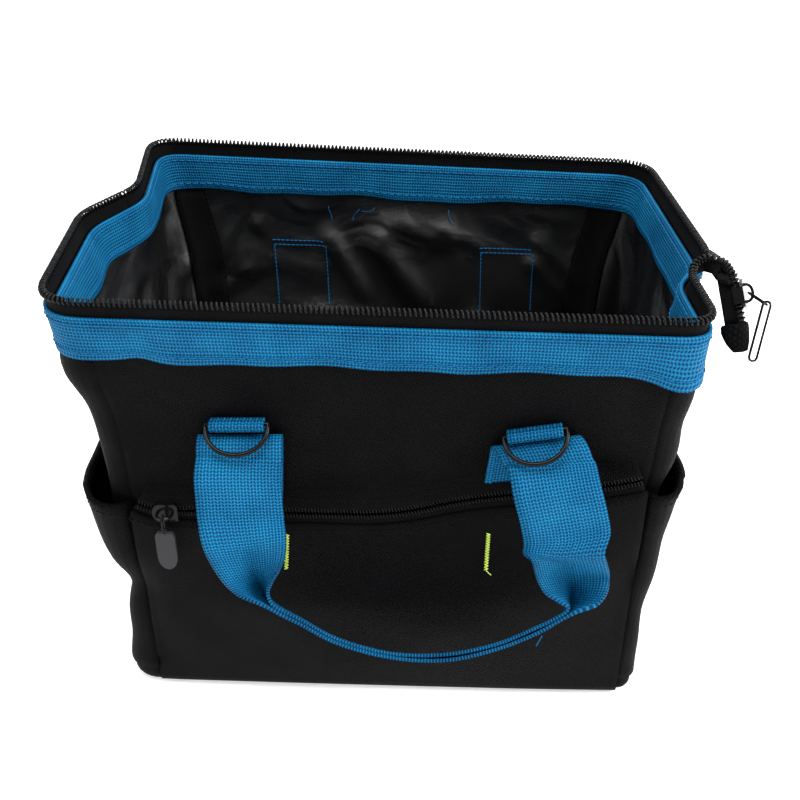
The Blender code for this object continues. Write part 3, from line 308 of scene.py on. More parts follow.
# %% Coated lining
def lining_finish():
    """A thin glossy coat, creased, and duller where it is folded."""
    finish, tree, shader = new_finish("coated_lining", (0.006, 0.006, 0.007), 0.24, 0.75)
    broad = object_noise(tree, Scale=17.0, Detail=2.5, Distortion=0.9)
    sharp = math_node(tree, "POWER", broad, 2.5)
    weave = floats(tree, 0.0007, 0.0007)
    height = math_node(tree, "MULTIPLY_ADD", weave, 0.015, sharp)
    bumped(tree, shader, height, 0.8, 0.013)
    tones = ((0.0012, 0.0012, 0.0014), (0.0022, 0.0022, 0.0026), (0.004, 0.004, 0.0045))
    coloured(tree, shader, broad, tones)
    glossed(tree, shader, broad, 0.16, 0.36)
    return finish


coated_lining = lining_finish()


# %% Plain finishes with a little grain
def grained_finish(name, dark, light, roughness, scale, bump, specular=0.5, metallic=0.0):
    """A smooth hard finish, broken up by fine noise in its colour, gloss and surface."""
    finish, tree, shader = new_finish(name, light, roughness, specular, metallic)
    grain = object_noise(tree, Scale=scale, Detail=4.0)
    coloured(tree, shader, grain, (dark, light))
    glossed(tree, shader, grain, roughness * 0.8, roughness * 1.25)
    bumped(tree, shader, grain, 0.5, bump)
    return finish


black_lacquer = grained_finish(
    "black_lacquer", (0.002, 0.002, 0.0025), (0.006, 0.006, 0.0065), 0.18, 900, 0.00004, 0.14
)
zip_coil = grained_finish(
    "zip_coil", (0.002, 0.002, 0.0024), (0.007, 0.007, 0.0075), 0.34, 700, 0.00003, 0.16
)
steel_strip = grained_finish(
    "steel_strip", (0.34, 0.34, 0.35), (0.50, 0.50, 0.51), 0.4, 900, 0.00004, metallic=1.0
)
blue_thread = grained_finish("blue_thread", (0.0, 0.05, 0.16), (0.0, 0.16, 0.38), 0.6, 2500, 0.0001, 0.2)
black_thread = grained_finish(
    "black_thread", (0.0015, 0.0015, 0.0018), (0.005, 0.005, 0.0055), 0.7, 2500, 0.0001, 0.1
)
lime_thread = grained_finish("lime_thread", (0.30, 0.42, 0.02), (0.62, 0.80, 0.14), 0.5, 2500, 0.0001)
pale_floor = grained_finish("pale_floor", (0.91, 0.91, 0.91), (0.94, 0.94, 0.94), 0.85, 30, 0.0)
glow = pale_floor.node_tree.nodes["Principled BSDF"]
glow.inputs["Emission Color"].default_value = (1, 1, 1, 1)
glow.inputs["Emission Strength"].default_value = 0.50
floor_mesh.materials.append(pale_floor)


# %% [markdown]
# The pocket's pull is one piece of the frame, but two materials: a wire link, and a moulded grey
# tab. Two pieces would need two objects. A mask by height gives the same with one finish.

# %% The pocket pull's finish
def pull_finish(link_end):
    """Black lacquer above a height, and grey rubber with a fine grain below it."""
    finish, tree, shader = new_finish("pocket_pull", (0.03, 0.03, 0.033), 0.5, 0.15)
    grain = object_noise(tree, Scale=1500.0, Detail=3.0)
    body = node(tree, "ShaderNodeTexCoord")
    tab = math_node(tree, "LESS_THAN", split(tree, body.outputs["Object"])["Z"], link_end)
    tone = math_node(tree, "MULTIPLY", tab, math_node(tree, "MULTIPLY_ADD", grain, 0.3, 0.7))
    coloured(tree, shader, tone, ((0.006, 0.006, 0.0065), (0.020, 0.020, 0.022), (0.038, 0.037, 0.041)))
    tree.links.new(math_node(tree, "MULTIPLY_ADD", tab, 0.3, 0.26), shader.inputs["Roughness"])
    bumped(tree, shader, grain, 0.5, 0.00005)
    return finish


print("finishes:", len(bpy.data.materials))

# %% [markdown]
# ## The walls' shape
# The bag is one sewn shell. Its outline is a rounded rectangle at the floor, and at the mouth it
# is a longer one whose sides fold in and out. A shell could be made from five plates, but a loft
# between the two outlines gives the real continuous wall, and every other layer, such as a band
# or a pocket, is the same wall moved outwards.

# %% Sizes of the bag
bag_height = 0.224
base_half = Vector((0.1285, 0.094))
mouth_half = Vector((0.144, 0.098))
back_left_rise, back_right_drop, mouth_rise = 0.008, 0.002, 0.003
corner_reach = 0.022
foot_radius = 0.007
side_waist, front_belly = 0.0015, 0.002
cloth_thickness, webbing_thickness, tape_thickness = 0.0015, 0.0016, 0.0008
layer_gap = 0.0004
thread_stand = 0.0001
ring_height = bag_height - 0.0565
tack_height = ring_height - 0.0081
hinge_height = tack_height - 0.0060
zip_height = hinge_height - 0.0359
left_pocket_height = zip_height + 0.0020
right_pocket_height = zip_height + 0.0095

# One row for each corner of the outline, anticlockwise from the front left: its place at the
# floor and at the mouth as shares of the half sizes, its shares of the rise at the back left and
# of the drop at the back right, and its rounding at the floor and at the mouth as shares of the
# corner's reach.
wall_corners = (
    ("front_left", (-1.02, -1.0), (-0.998, -1.030), (0, 0), (0.65, 0.85)),
    ("front_right", (1.0, -1.0), (0.965, -1.070), (0, 1.6), (0.36, 0.65)),
    ("right_fold", (1.0, -0.50), (0.945, -0.580), (0, 1.4), (0.4, 0.40)),
    ("right_crest", (1.0, -0.28), (1.035, -0.370), (0, 1.2), (0.4, 0.40)),
    ("back_right", (1.0, 1.0), (0.980, 0.930), (0, 1.0), (1.0, 0.85)),
    ("back_left", (-1.02, 1.0), (-0.970, 0.940), (1.0, 0), (1.0, 0.80)),
    ("left_fold", (-1.02, 0.34), (-0.915, 0.280), (0.4, 0), (0.4, 0.42)),
    ("left_crest", (-1.02, -0.02), (-1.060, -0.060), (0.1, 0), (0.4, 0.42)),
)
# How far the walls have leaned from the floor's outline to the mouth's, by share of the height
lean_rows = (
    (0.0, 0.0), (0.60, 0.0), (0.74, 0.20), (0.82, 0.52), (0.877, 0.68), (0.9185, 0.77), (1.0, 1.0),
)
arc_steps = 8
column_pitch = 0.0034
# Heights of the close rows round the foot, and where the even rows above them start
foot_levels, even_start = [0.0005, 0.0015, 0.003, 0.005, 0.007], 0.0105
pocket_foot = 0.0125


# %% Outlines at the floor and at the mouth
def rounded_outline(corners, reaches, steps):
    """Points round a polygon with eased corners, and where each straight edge starts and ends."""
    points, edges = [], []
    for i, corner in enumerate(corners):
        start = corner + (corners[i - 1] - corner).normalized() * reaches[i]
        following = corners[(i + 1) % len(corners)]
        end = corner + (following - corner).normalized() * reaches[i]
        for k in range(arc_steps + 1):
            t = k / arc_steps
            points.append(start * (1 - t) ** 2 + corner * 2 * t * (1 - t) + end * t**2)
        first = len(points) - 1
        target = following + (corner - following).normalized() * reaches[(i + 1) % len(corners)]
        points += [end.lerp(target, k / steps[i]) for k in range(1, steps[i])]
        edges.append((first, len(points)))
    return points, edges


floor_corners, mouth_corners, floor_reaches, mouth_reaches = [], [], [], []
for _, low, high, lift, reach in wall_corners:
    floor_corners.append(Vector((low[0] * base_half.x, low[1] * base_half.y, 0)))
    rise = lift[0] * back_left_rise - lift[1] * back_right_drop
    mouth_corners.append(Vector((high[0] * mouth_half.x, high[1] * mouth_half.y, rise)))
    floor_reaches.append(reach[0] * corner_reach)
    mouth_reaches.append(reach[1] * corner_reach)
edge_steps = [
    max(3, round((floor_corners[(i + 1) % 8] - floor_corners[i]).length / column_pitch)) for i in range(8)
]
floor_line, edges = rounded_outline(floor_corners, floor_reaches, edge_steps)
mouth_line, _ = rounded_outline(mouth_corners, mouth_reaches, edge_steps)
columns = len(floor_line)
edge_of = {row[0]: edges[i] for i, row in enumerate(wall_corners)}
front_start, front_end = edge_of["front_left"]
back_start, back_end = edge_of["back_right"]

# Distance along the mouth at each column, which the weave uses
along_mouth = [0.0]
for i in range(1, 3 * columns):
    step = (mouth_line[i % columns] - mouth_line[(i - 1) % columns]).length
    along_mouth.append(along_mouth[-1] + step)
print("columns round the bag:", columns, "mouth length:", round(along_mouth[columns], 3))


# %% A point on the wall
def ease(share):
    """A soft step from 0 to 1."""
    t = min(1.0, max(0.0, share))
    return t * t * (3 - 2 * t)


def between_rows(rows, share):
    """The value at a share between two rows of a table, in a straight line."""
    for (low, first), (high, last) in zip(rows, rows[1:]):
        if share <= high or high == rows[-1][0]:
            return first + (last - first) * (share - low) / (high - low)


def softened(rows, share, window):
    """The same, averaged over a small window, so that the line bends softly at each row."""
    steps = (-1.0, -0.5, 0.0, 0.5, 1.0)
    return sum(between_rows(rows, share + window * step) for step in steps) / len(steps)


def lean_at(height):
    """How far the wall has leaned at a height. At the rim the window is closed."""
    share = height / bag_height
    return softened(lean_rows, share, min(0.035, max(0.0, 1.0 - share)))


def plan_point(column, height):
    """The outline at a height, seen from above."""
    point = floor_line[column % columns].lerp(mouth_line[column % columns], lean_at(height))
    return Vector((point.x, point.y, 0))


def outward(column, height):
    """The level direction that points out of the bag."""
    along = plan_point(column + 1, height) - plan_point(column - 1, height)
    return Vector((along.y, -along.x, 0)).normalized()


def foot_inset(height):
    """How far the round foot draws the wall in."""
    if height >= foot_radius:
        return 0.0
    return foot_radius - math.sqrt(foot_radius**2 - (foot_radius - max(0.0, height)) ** 2)


# %% [markdown]
# Soft cloth is never a clean loft. A cloth simulation could crumple it, but the folds would come
# out anywhere. Here each fold has its own row: a dent is a round swell or hollow, and a pull is a
# ridge along a line, such as where a tack draws the cloth. Slow noise fills in the rest.

# %% Dents and pulls in the cloth
# Place, reach across, reach up, and how far out
dents = (
    ((-0.124, -0.084, 0.064), 0.020, 0.014, -0.0070),
    ((-0.124, -0.080, 0.008), 0.030, 0.016, 0.0022),
    ((-0.137, -0.080, 0.187), 0.026, 0.012, 0.0040),
    ((0.130, -0.085, 0.058), 0.026, 0.020, -0.0030),
    ((0.133, -0.078, 0.150), 0.024, 0.020, 0.0075),
    ((0.134, -0.082, 0.182), 0.022, 0.014, 0.0030),
    ((-0.131, 0.010, 0.060), 0.050, 0.030, -0.0030),
    ((0.129, 0.020, 0.070), 0.050, 0.030, -0.0030),
    ((0.000, -0.094, 0.150), 0.045, 0.022, 0.0016),
    ((-0.020, 0.094, 0.090), 0.060, 0.035, -0.0030),
    ((-0.105, 0.094, 0.146), 0.018, 0.008, 0.0030),
)
# Start, end, reach across, and how far out
pulls = (
    ((-0.040, 0.095, 0.174), (-0.022, 0.095, 0.140), 0.0055, -0.0042),
    ((-0.010, 0.095, 0.170), (0.016, 0.095, 0.132), 0.0075, -0.0055),
    ((0.000, 0.095, 0.184), (0.030, 0.095, 0.172), 0.0060, -0.0040),
    ((0.026, 0.095, 0.181), (0.046, 0.095, 0.172), 0.0040, -0.0030),
    ((0.083, 0.095, 0.174), (0.110, 0.095, 0.146), 0.0050, -0.0040),
    ((0.083, 0.095, 0.160), (0.106, 0.095, 0.132), 0.0060, -0.0042),
    ((-0.082, 0.095, 0.182), (-0.072, 0.095, 0.174), 0.0040, -0.0030),
    ((-0.108, 0.095, 0.142), (-0.092, 0.095, 0.150), 0.0050, -0.0045),
    ((-0.045, 0.095, 0.120), (0.010, 0.095, 0.104), 0.0090, -0.0050),
    ((0.050, 0.095, 0.118), (0.090, 0.095, 0.098), 0.0080, -0.0040),
    ((-0.132, 0.080, 0.190), (-0.132, 0.072, 0.172), 0.0050, 0.0035),
    ((-0.132, 0.070, 0.160), (-0.132, 0.050, 0.135), 0.0070, 0.0040),
    ((-0.132, 0.020, 0.170), (-0.132, -0.020, 0.140), 0.0080, 0.0030),
    ((0.130, 0.070, 0.180), (0.130, 0.030, 0.140), 0.0080, 0.0035),
    ((-0.140, -0.070, 0.196), (-0.118, -0.094, 0.150), 0.0050, 0.0022),
    ((-0.131, -0.080, 0.190), (-0.124, -0.090, 0.155), 0.0030, -0.0020),
    ((-0.115, -0.094, 0.130), (-0.085, -0.094, 0.150), 0.0060, 0.0014),
    ((0.035, -0.094, 0.196), (0.052, -0.094, 0.178), 0.0070, 0.0010),
    ((0.090, -0.094, 0.150), (0.116, -0.094, 0.132), 0.0060, -0.0020),
    ((0.090, -0.094, 0.190), (0.112, -0.094, 0.160), 0.0080, 0.0014),
)
pull_lines = [(Vector(a), Vector(b) - Vector(a), reach, out) for a, b, reach, out in pulls]


def relief(point):
    """How far dents and pulls move the cloth outwards at a place."""
    moved = 0.0
    for (x, y, z), across, up, out in dents:
        near = ((point.x - x) ** 2 + (point.y - y) ** 2) / across**2 + (point.z - z) ** 2 / up**2
        if near < 6:
            moved += out * math.exp(-near)
    for start, way, reach, out in pull_lines:
        from_start = point - start
        if abs(from_start.z) > 0.09 or abs(from_start.y) > 0.05:
            continue
        t = min(1.0, max(0.0, from_start.dot(way) / way.length_squared))
        near = (from_start - way * t).length_squared / reach**2
        if near < 6:
            moved += out * math.exp(-near) * (1 - 0.5 * t)
    return moved


# Slow noise in the cloth: waves to the metre, and how far each moves it
broad_waves, broad_move, middle_waves, middle_move = 13, 0.0026, 34, 0.0010
# The cloth is flat near its foot and the band, and the reliefs end a little higher
still_foot, still_top, relief_top = 0.030, 0.020, 0.012
# Where sewn straps hold the wall: half their spacing, their reach and their lowest place, front and back
held_half, front_held, back_held = 0.064, (0.026, 0.115), (0.016, 0.155)


def creases(point, height):
    """Dents, pulls and slow noise. They die out at the foot and the band, and behind sewn straps."""
    broad = noise.noise(point * broad_waves + Vector((3.1, 0, 0))) * broad_move
    middle = noise.noise(point * middle_waves + Vector((0, 7.7, 0))) * middle_move
    edge = ease(height / still_foot) * ease((bag_height - still_top - height) / still_foot)
    reach, low = front_held if point.y < 0 else back_held
    strap = (abs(point.x) - held_half) / reach
    held = 1 - 0.97 * math.exp(-(strap**4)) * ease((height - low) / 0.012)
    if point.y < -0.085:
        # The pocket's zip holds the front wall flat, so that its slider can pass
        held *= 1 - 0.9 * math.exp(-(((height - zip_height - 0.004) / 0.014) ** 2))
    top = ease((bag_height - relief_top - height) / 0.02)
    return (broad + middle) * edge * held + relief(point) * held * top


def wall_point(column, height, offset=0.0, slack=1.0):
    """A point on the wall at a nominal height, moved outwards from the middle of the cloth."""
    normal = outward(column, height)
    belly = front_belly * normal.y**2 - side_waist * normal.x**2
    swell = belly * math.sin(math.pi * min(1.0, height / bag_height))
    point = plan_point(column, height)
    rise = mouth_line[column % columns].z
    point.z = height * (bag_height + rise) / bag_height + mouth_rise * ease((height - 0.184) / 0.028)
    shift = swell - foot_inset(height) + offset
    if slack:
        shift += slack * creases(point, height)
    return point + normal * shift


# %% [markdown]
# ## Cloth meshes
# A cloth piece starts as a grid of points with cloth coordinates, and Solidify gives it its
# thickness. That keeps the weave straight along the piece, which a remesh would lose.


# %% Making cloth
def row_lengths(points):
    """How far along a line each of its points is."""
    lengths = [0.0]
    for a, b in zip(points, points[1:]):
        lengths.append(lengths[-1] + (b - a).length)
    return lengths


def placed(name, mesh, body):
    """An object for a mesh, which rides on a body."""
    piece = bpy.data.objects.new(name, mesh)
    bpy.context.scene.collection.objects.link(piece)
    if body:
        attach(piece, body)
    return piece


def cloth_piece(name, rows, coordinates, finish, thickness, lining=None, body="bag", closed=False):
    """A sheet through rows of points, thickened evenly. The lining finish goes on its inner side."""
    sheet = bmesh.new()
    layer = sheet.loops.layers.uv.new("cloth")
    made = [[sheet.verts.new(p) for p in row] for row in rows]
    steps = len(rows[0]) if closed else len(rows[0]) - 1
    for r in range(len(rows) - 1):
        for i in range(steps):
            j = (i + 1) % len(rows[0])
            face = sheet.faces.new((made[r][i], made[r][j], made[r + 1][j], made[r + 1][i]))
            corners = ((r, i), (r, i + 1), (r + 1, i + 1), (r + 1, i))
            for loop, (a, b) in zip(face.loops, corners):
                loop[layer].uv = coordinates(a, b)
    mesh = bpy.data.meshes.new(name)
    sheet.to_mesh(mesh)
    sheet.free()
    mesh.materials.append(finish)
    mesh.materials.append(lining or finish)
    mesh.shade_smooth()
    piece = placed(name, mesh, body)
    shell = piece.modifiers.new("thickness", "SOLIDIFY")
    shell.thickness = thickness
    shell.offset = 0
    shell.use_even_offset = True
    shell.material_offset = 1
    shell.use_quality_normals = True
    return piece


def heights(low, high, pitch):
    """Even steps from a low value to a high one, close to a pitch apart."""
    steps = max(1, round((high - low) / pitch))
    return [low + (high - low) * k / steps for k in range(steps + 1)]


def declare_cut(piece, rows, closed=False):
    """Measures the flat width and length of rows of cloth along their own surface, and keeps neither."""
    wide = max(row_lengths([*row, row[0]] if closed else row)[-1] for row in rows)
    long = max(row_lengths([row[i] for row in rows])[-1] for i in range(len(rows[0])))
    for low, high in zip(rows, rows[1:]):
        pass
    if closed:
        xs, ys = [p.x for p in rows[0]], [p.y for p in rows[0]]
        wide, long = max(xs) - min(xs), max(ys) - min(ys)


# %% [markdown]
# ## Walls and floor
# Four panels are sewn together at the upright seams. They share the wall's points, so their
# edges meet as they do on the real bag. The inside of each panel is the coated side.

# %% Wall panels
panel_top = bag_height - 0.0112
wall_levels = foot_levels + heights(even_start, panel_top, column_pitch)
panel_spans = {
    "front_panel": (front_start, front_end),
    "right_gusset": (front_end, back_start),
    "back_panel": (back_start, back_end),
    "left_gusset": (back_end, front_start + columns),
}
for panel, (first, last) in panel_spans.items():
    rows = [[wall_point(c, h) for c in range(first, last + 1)] for h in wall_levels]
    made = cloth_piece(
        f"{panel}_cloth", rows, lambda a, b: (along_mouth[first + b], wall_levels[a]), black_cloth,
        cloth_thickness, coated_lining,
    )
    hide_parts(panel)
    declare_cut(made, rows)


# %% Floor of the bag
def flat_patch(name, finish, inset, height, thickness, lift=0.0):
    """A flat piece that fills the base outline, as rings that shrink to its middle.

    inset is its distance from the outline, and lift how far slow noise raises its middle.
    """
    rows = []
    for share in (1.0, 0.94, 0.85, 0.7, 0.5, 0.3, 0.1, 0.01):
        row = []
        for c in range(columns):
            edge = floor_line[c] - outward(c, 0) * inset
            p = Vector((edge.x * share, edge.y * share, height))
            p.z += lift * noise.noise(p * 25) * (1 - share)
            row.append(p)
        rows.append(row)
    made = cloth_piece(
        name, rows, lambda a, b: (rows[a][b % columns].x, rows[a][b % columns].y), finish,
        thickness, closed=True,
    )
    return made, rows


bottom, rows = flat_patch("bottom_cloth", black_cloth, inset=0.0030, height=0.0010, thickness=0.0016)
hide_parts("bottom_panel")
declare_cut(bottom, rows, closed=True)
floor_cloth, rows = flat_patch(
    "floor_lining", coated_lining, inset=0.0040, height=0.0046, thickness=cloth_thickness, lift=0.0010
)
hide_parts("base_board")
declare_cut(floor_cloth, rows, closed=True)


# %% [markdown]
# ## Stitches and tubes
# Seams on webbing show as rows of short plump threads. A bump could draw them, but it can't
# catch the light as a raised thread does. Each stitch here is a small spindle of mesh, and a
# whole row is one piece. Rings, coils and loose threads are tubes swept along a line.


# %% Sewing a row of stitches
def finished(name, work, finish, body):
    """An object for a mesh of threads or wire, with its finish, slot and body."""
    mesh = bpy.data.meshes.new(name)
    work.to_mesh(mesh)
    work.free()
    mesh.materials.append(finish)
    mesh.shade_smooth()
    piece = placed(name, mesh, body)
    return piece


def stitch_mesh(name, stitches, radius, finish, body="bag"):
    """One piece holding a spindle for each (start, end, out) in stitches."""
    work = bmesh.new()
    # Share of the length, of the width, and how far that ring is raised
    spindle = ((0.0, 0.45, -0.5), (0.25, 1.0, 0.25), (0.75, 1.0, 0.25), (1.0, 0.45, -0.5))
    for start, end, out in stitches:
        along = end - start
        if along.length < 1e-6:
            continue
        side = along.cross(out).normalized()
        rings = []
        for share, width, lift in spindle:
            centre = start + along * share + out * radius * lift
            rings.append([
                work.verts.new(centre + (side * math.cos(a) + out * math.sin(a)) * radius * width)
                for a in (math.pi * k / 3 for k in range(6))
            ])
        for low, high in zip(rings, rings[1:]):
            for i in range(6):
                work.faces.new((low[i], low[(i + 1) % 6], high[(i + 1) % 6], high[i]))
        work.faces.new(list(reversed(rings[0])))
        work.faces.new(rings[-1])
    return finished(name, work, finish, body)


def stitches_along(points, outs, pitch, share=0.72):
    """Stitches at an even pitch along a line of points, each with its outward direction.

    share is how much of the pitch a stitch shows. The rest of it dips under the cloth.
    """
    lengths = row_lengths(points)

    def at(distance):
        for i in range(len(points) - 1):
            if distance <= lengths[i + 1]:
                t = (distance - lengths[i]) / max(1e-9, lengths[i + 1] - lengths[i])
                return points[i].lerp(points[i + 1], t), outs[i].lerp(outs[i + 1], t).normalized()
        return points[-1], outs[-1]

    made = []
    for k in range(int(lengths[-1] / pitch)):
        start, out = at(k * pitch)
        end, _ = at((k + share) * pitch)
        made.append((start, end, out))
    return made


# %% Sweeping a tube
def swept(name, centres, radius, finish, body="bag", sides=6, plane=None, closed=False):
    """A tube along a line. It turns as little as it can, unless plane gives a flat line's normal."""
    work = bmesh.new()
    rings, last_out = [], None
    count = len(centres)
    for k, centre in enumerate(centres):
        if closed:
            ahead = centres[(k + 1) % count] - centres[k - 1]
        else:
            ahead = centres[min(k + 1, count - 1)] - centres[max(k - 1, 0)]
        ahead.normalize()
        if plane:
            out = plane
        elif last_out is None:
            out = ahead.orthogonal().normalized()
        else:
            out = (last_out - ahead * ahead.dot(last_out)).normalized()
        last_out = out
        side = ahead.cross(out)
        rings.append([
            work.verts.new(centre + (out * math.cos(a) + side * math.sin(a)) * radius)
            for a in (2 * math.pi * j / sides for j in range(sides))
        ])
    for k in range(count if closed else count - 1):
        low, high = rings[k], rings[(k + 1) % count]
        for i in range(sides):
            j = (i + 1) % sides
            work.faces.new((low[i], low[j], high[j], high[i]))
    if not closed:
        work.faces.new(list(reversed(rings[0])))
        work.faces.new(rings[-1])
    return finished(name, work, finish, body)


# %% [markdown]
# ## Webbing round the mouth
# One band of webbing is sewn outside the mouth and one inside, with the hem springs and the zip
# tape between them. A straight lower edge would look printed on. A sewn band's edge wanders, and
# it sags where it turns the front corner, so a slow wave and two dips move it.

# %% Mouth bands
band_top = bag_height - 0.0090
band_height = 0.0185
outer_seat = cloth_thickness / 2 + layer_gap + webbing_thickness / 2
inner_seat = -(cloth_thickness / 2 + layer_gap * 2 + tape_thickness + webbing_thickness / 2)
# Place on the plan, reach, how far the lower edge drops there, and how far it stands out
band_dips = (
    (Vector((0.131, -0.101)), 0.013, 0.0046, 0.0016),
    (Vector((-0.104, -0.100)), 0.007, -0.0012, -0.0008),
    (Vector((-0.151, -0.030)), 0.016, 0.0012, 0.0),
    (Vector((0.010, 0.092)), 0.030, 0.0010, 0.0),
)


def band_edge(column):
    """How far a band's lower edge stands above its straight line, and how far out."""
    s = along_mouth[column % columns]
    rise = 0.0006 * math.sin(s * 61) + 0.0004 * math.sin(s * 147 + 1.0)
    out = 0.0
    for place, reach, drop, stand in band_dips:
        near = math.exp(-((mouth_line[column % columns].xy - place).length_squared) / reach**2)
        rise -= drop * near
        out += stand * near
    return rise, out


def band_point(column, share, offset):
    """A point on a band: share 0 is its lower edge and 1 its upper one."""
    rise, out = band_edge(column)
    height = band_top - band_height * (1 - share) + rise * (1 - share) ** 1.5
    return wall_point(column, height, offset + out * (1 - share))


for name, seat in (("outer", outer_seat), ("inner", inner_seat)):
    levels = [0.0, 0.08, 0.25, 0.5, 0.75, 0.92, 1.0]
    rows = []
    for share in levels:
        curl = 0.0004 * (1 - math.sin(math.pi * share)) * (-1 if seat > 0 else 1)
        rows.append([band_point(c, share, seat + curl) for c in range(columns)])
    made = cloth_piece(
        f"{name}_band", rows, lambda a, b: (along_mouth[b], band_height * levels[a]), blue_webbing,
        webbing_thickness, closed=True,
    )
    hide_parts(f"{name}_mouth_band")
print("bands: 2")

# %% Springs in the hems
# A steel strip in each hem holds the mouth square. It follows the wall, so it bends with the rim.
spring_thickness, spring_top, spring_height = 0.0008, bag_height - 0.0125, 0.012
spring_seat = -(cloth_thickness / 2 + layer_gap + spring_thickness / 2)
for name, first, last in (
    ("front", edge_of["left_crest"][0], front_end + arc_steps + 2 + columns),
    ("back", edge_of["right_crest"][0] + arc_steps, back_end + arc_steps + 2),
):
    rows = [
        [wall_point(c, spring_top - spring_height * share, spring_seat) for c in range(first, last + 1)]
        for share in (1.0, 0.5, 0.0)
    ]
    made = cloth_piece(
        f"{name}_spring", rows, lambda a, b: (column_pitch * b, spring_height * a / 2), steel_strip,
        spring_thickness,
    )
    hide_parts(f"{name}_mouth_stay")
print("springs: 2")

# %% Stitches on the bands
stitch_radius, black_stitch = 0.00030, 0.00024
band_stitch_pitch, seam_stitch_pitch = 0.0042, 0.0032
for name, seat, side in (("outer", outer_seat, 1), ("inner", inner_seat, -1)):
    stitches = []
    for share in (0.17, 0.84):
        face = seat + side * (webbing_thickness / 2 + thread_stand)
        points = [band_point(c, share, face) for c in range(columns + 1)]
        outs = [outward(c, band_top) * side for c in range(columns + 1)]
        stitches += stitches_along(points, outs, band_stitch_pitch, 0.86)
    stitch_mesh(f"{name}_band_stitches", stitches, stitch_radius, blue_thread)
    print(name, "band stitches:", len(stitches))


# %% [markdown]
# ## Tape over the inner seams
# Inside, a strip of black tape covers the raw edges of each upright seam, and turns the corner
# with them. It is the wall's own surface moved inwards.

# %% Seam tapes
inside = -(cloth_thickness / 2 + layer_gap * 2 + tape_thickness / 2)
seam_levels = heights(0.0125, band_top - band_height - layer_gap, 0.0045)
for name, column, side in (
    ("front_left", front_start, -1), ("front_right", front_end, 1),
    ("back_right", back_start, -1), ("back_left", back_end, 1),
):
    span = [column + side * k for k in (3, 2, 1, 0, -1, -2)]
    rows = [[wall_point(c % columns, h, inside) for c in span] for h in seam_levels]
    made = cloth_piece(
        f"seam_tape_{name}", rows, lambda a, b: (seam_levels[a], 0.002 * b), zip_tape, tape_thickness,
    )
    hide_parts(f"seam_binding_{name}")
    stitches = []
    for c in (span[0], span[-1]):
        points = [wall_point(c % columns, h, inside - 0.0006) for h in seam_levels]
        stitches += stitches_along(points, [-outward(c % columns, 0.1)] * len(points), seam_stitch_pitch)
    stitch_mesh(f"seam_stitches_{name}", stitches, black_stitch, black_thread)
print("seam tapes: 4")


# %% [markdown]
# ## The mouth zip
# A coil zip is a plastic thread wound into a helix and sewn to a woven tape. The two sides run
# round the mouth, leave it at the right and meet in the slider. The helix is built from its true
# pitch, because the row of teeth is the sharpest line in the picture.

# %% The line of each side
coil_radius, coil_wire, coil_pitch = 0.0020, 0.00058, 0.00215
# How far the tape reaches below the rim where it is sewn and where it is free, half the gap at the
# left split, and how far the tape starts below the coil's middle
sewn_reach, free_reach, split_gap, coil_bite = 0.0105, 0.0087, 0.0005, 0.0004
tail_start = Vector((0.1535, -0.0620, 0.2240))
tail_aim = Vector((0.16, -0.58, -0.80)).normalized()
tail_hang = Vector((-0.80, 0.05, -0.55))
tail_down = (tail_hang - tail_aim * tail_hang.dot(tail_aim)).normalized()
tail_side = tail_aim.cross(-tail_down).normalized()
tail_length = 0.0215
chain_half_gap = 0.0030
# The free stretch between rim and tail: share of the way, then shares of the swing and the lift
free_lift, free_swing = 0.0030, 0.0100
front_free = ((0.10, 0.62, 0.60), (0.36, 1.05, 1.00), (0.66, 1.00, 1.00), (0.88, 0.62, 0.80))
back_free = ((0.34, 0.14, 0.20), (0.70, 0.16, 0.10))
plain_up = Vector((0, 0, 1))


def curved(a, b, c, d, t):
    """The value at t between b and c, on a smooth curve through four numbers or four points."""
    return 0.5 * (2 * b + (c - a) * t + (2 * a - 5 * b + 4 * c - d) * t**2 + (3 * b - a - 3 * c + d) * t**3)


def smooth_run(run, steps):
    """A smooth curve through pairs of point and hang direction."""
    result = []
    for i in range(len(run) - 1):
        four = [run[k][0] for k in (max(0, i - 1), i, i + 1, min(len(run) - 1, i + 2))]
        for k in range(steps):
            t = k / steps
            result.append((curved(*four, t), run[i][1].lerp(run[i + 1][1], t).normalized()))
    return result + [run[-1]]


def mouth_run(first, last, step, table, side):
    """A side's line and hang directions, from the left split to the tail's end."""
    run = []
    for c in range(first, last, step):
        point = wall_point(c, bag_height - coil_radius)
        below = wall_point(c, bag_height - sewn_reach)
        run.append((point, (below - point).normalized()))
    start, ahead = run[0][0], run[1][0]
    run[0] = (start + (ahead - start).normalized() * split_gap, run[0][1])
    sewn = len(run)
    chain = tail_start + tail_side * chain_half_gap * side
    leaving = run[-1][0]
    free = [run[-1]]
    for along, swing, lift in table:
        point = leaving.lerp(chain, along) + Vector((0, free_swing * swing, free_lift * lift))
        free.append((point, (-plain_up).lerp(tail_down, along**2).normalized()))
    free.append((chain, tail_down))
    run += smooth_run(free, 8)[1:]
    run += [(chain + tail_aim * tail_length * k / 6, tail_down) for k in range(1, 7)]
    squared = []
    for i, (point, hang) in enumerate(run):
        along = (run[min(i + 1, len(run) - 1)][0] - run[max(i - 1, 0)][0]).normalized()
        squared.append((point, (hang - along * along.dot(hang)).normalized()))
    return squared, sewn


left_split = edge_of["left_fold"][0]
front_leave = edge_of["right_fold"][0] - arc_steps // 2
back_leave = edge_of["right_crest"][0] - arc_steps // 2
front_run, front_sewn = mouth_run(left_split, front_leave + columns, 1, front_free, 1)
back_run, back_sewn = mouth_run(left_split, back_leave, -1, back_free, -1)
print("points on the zip's sides:", len(front_run), len(back_run))


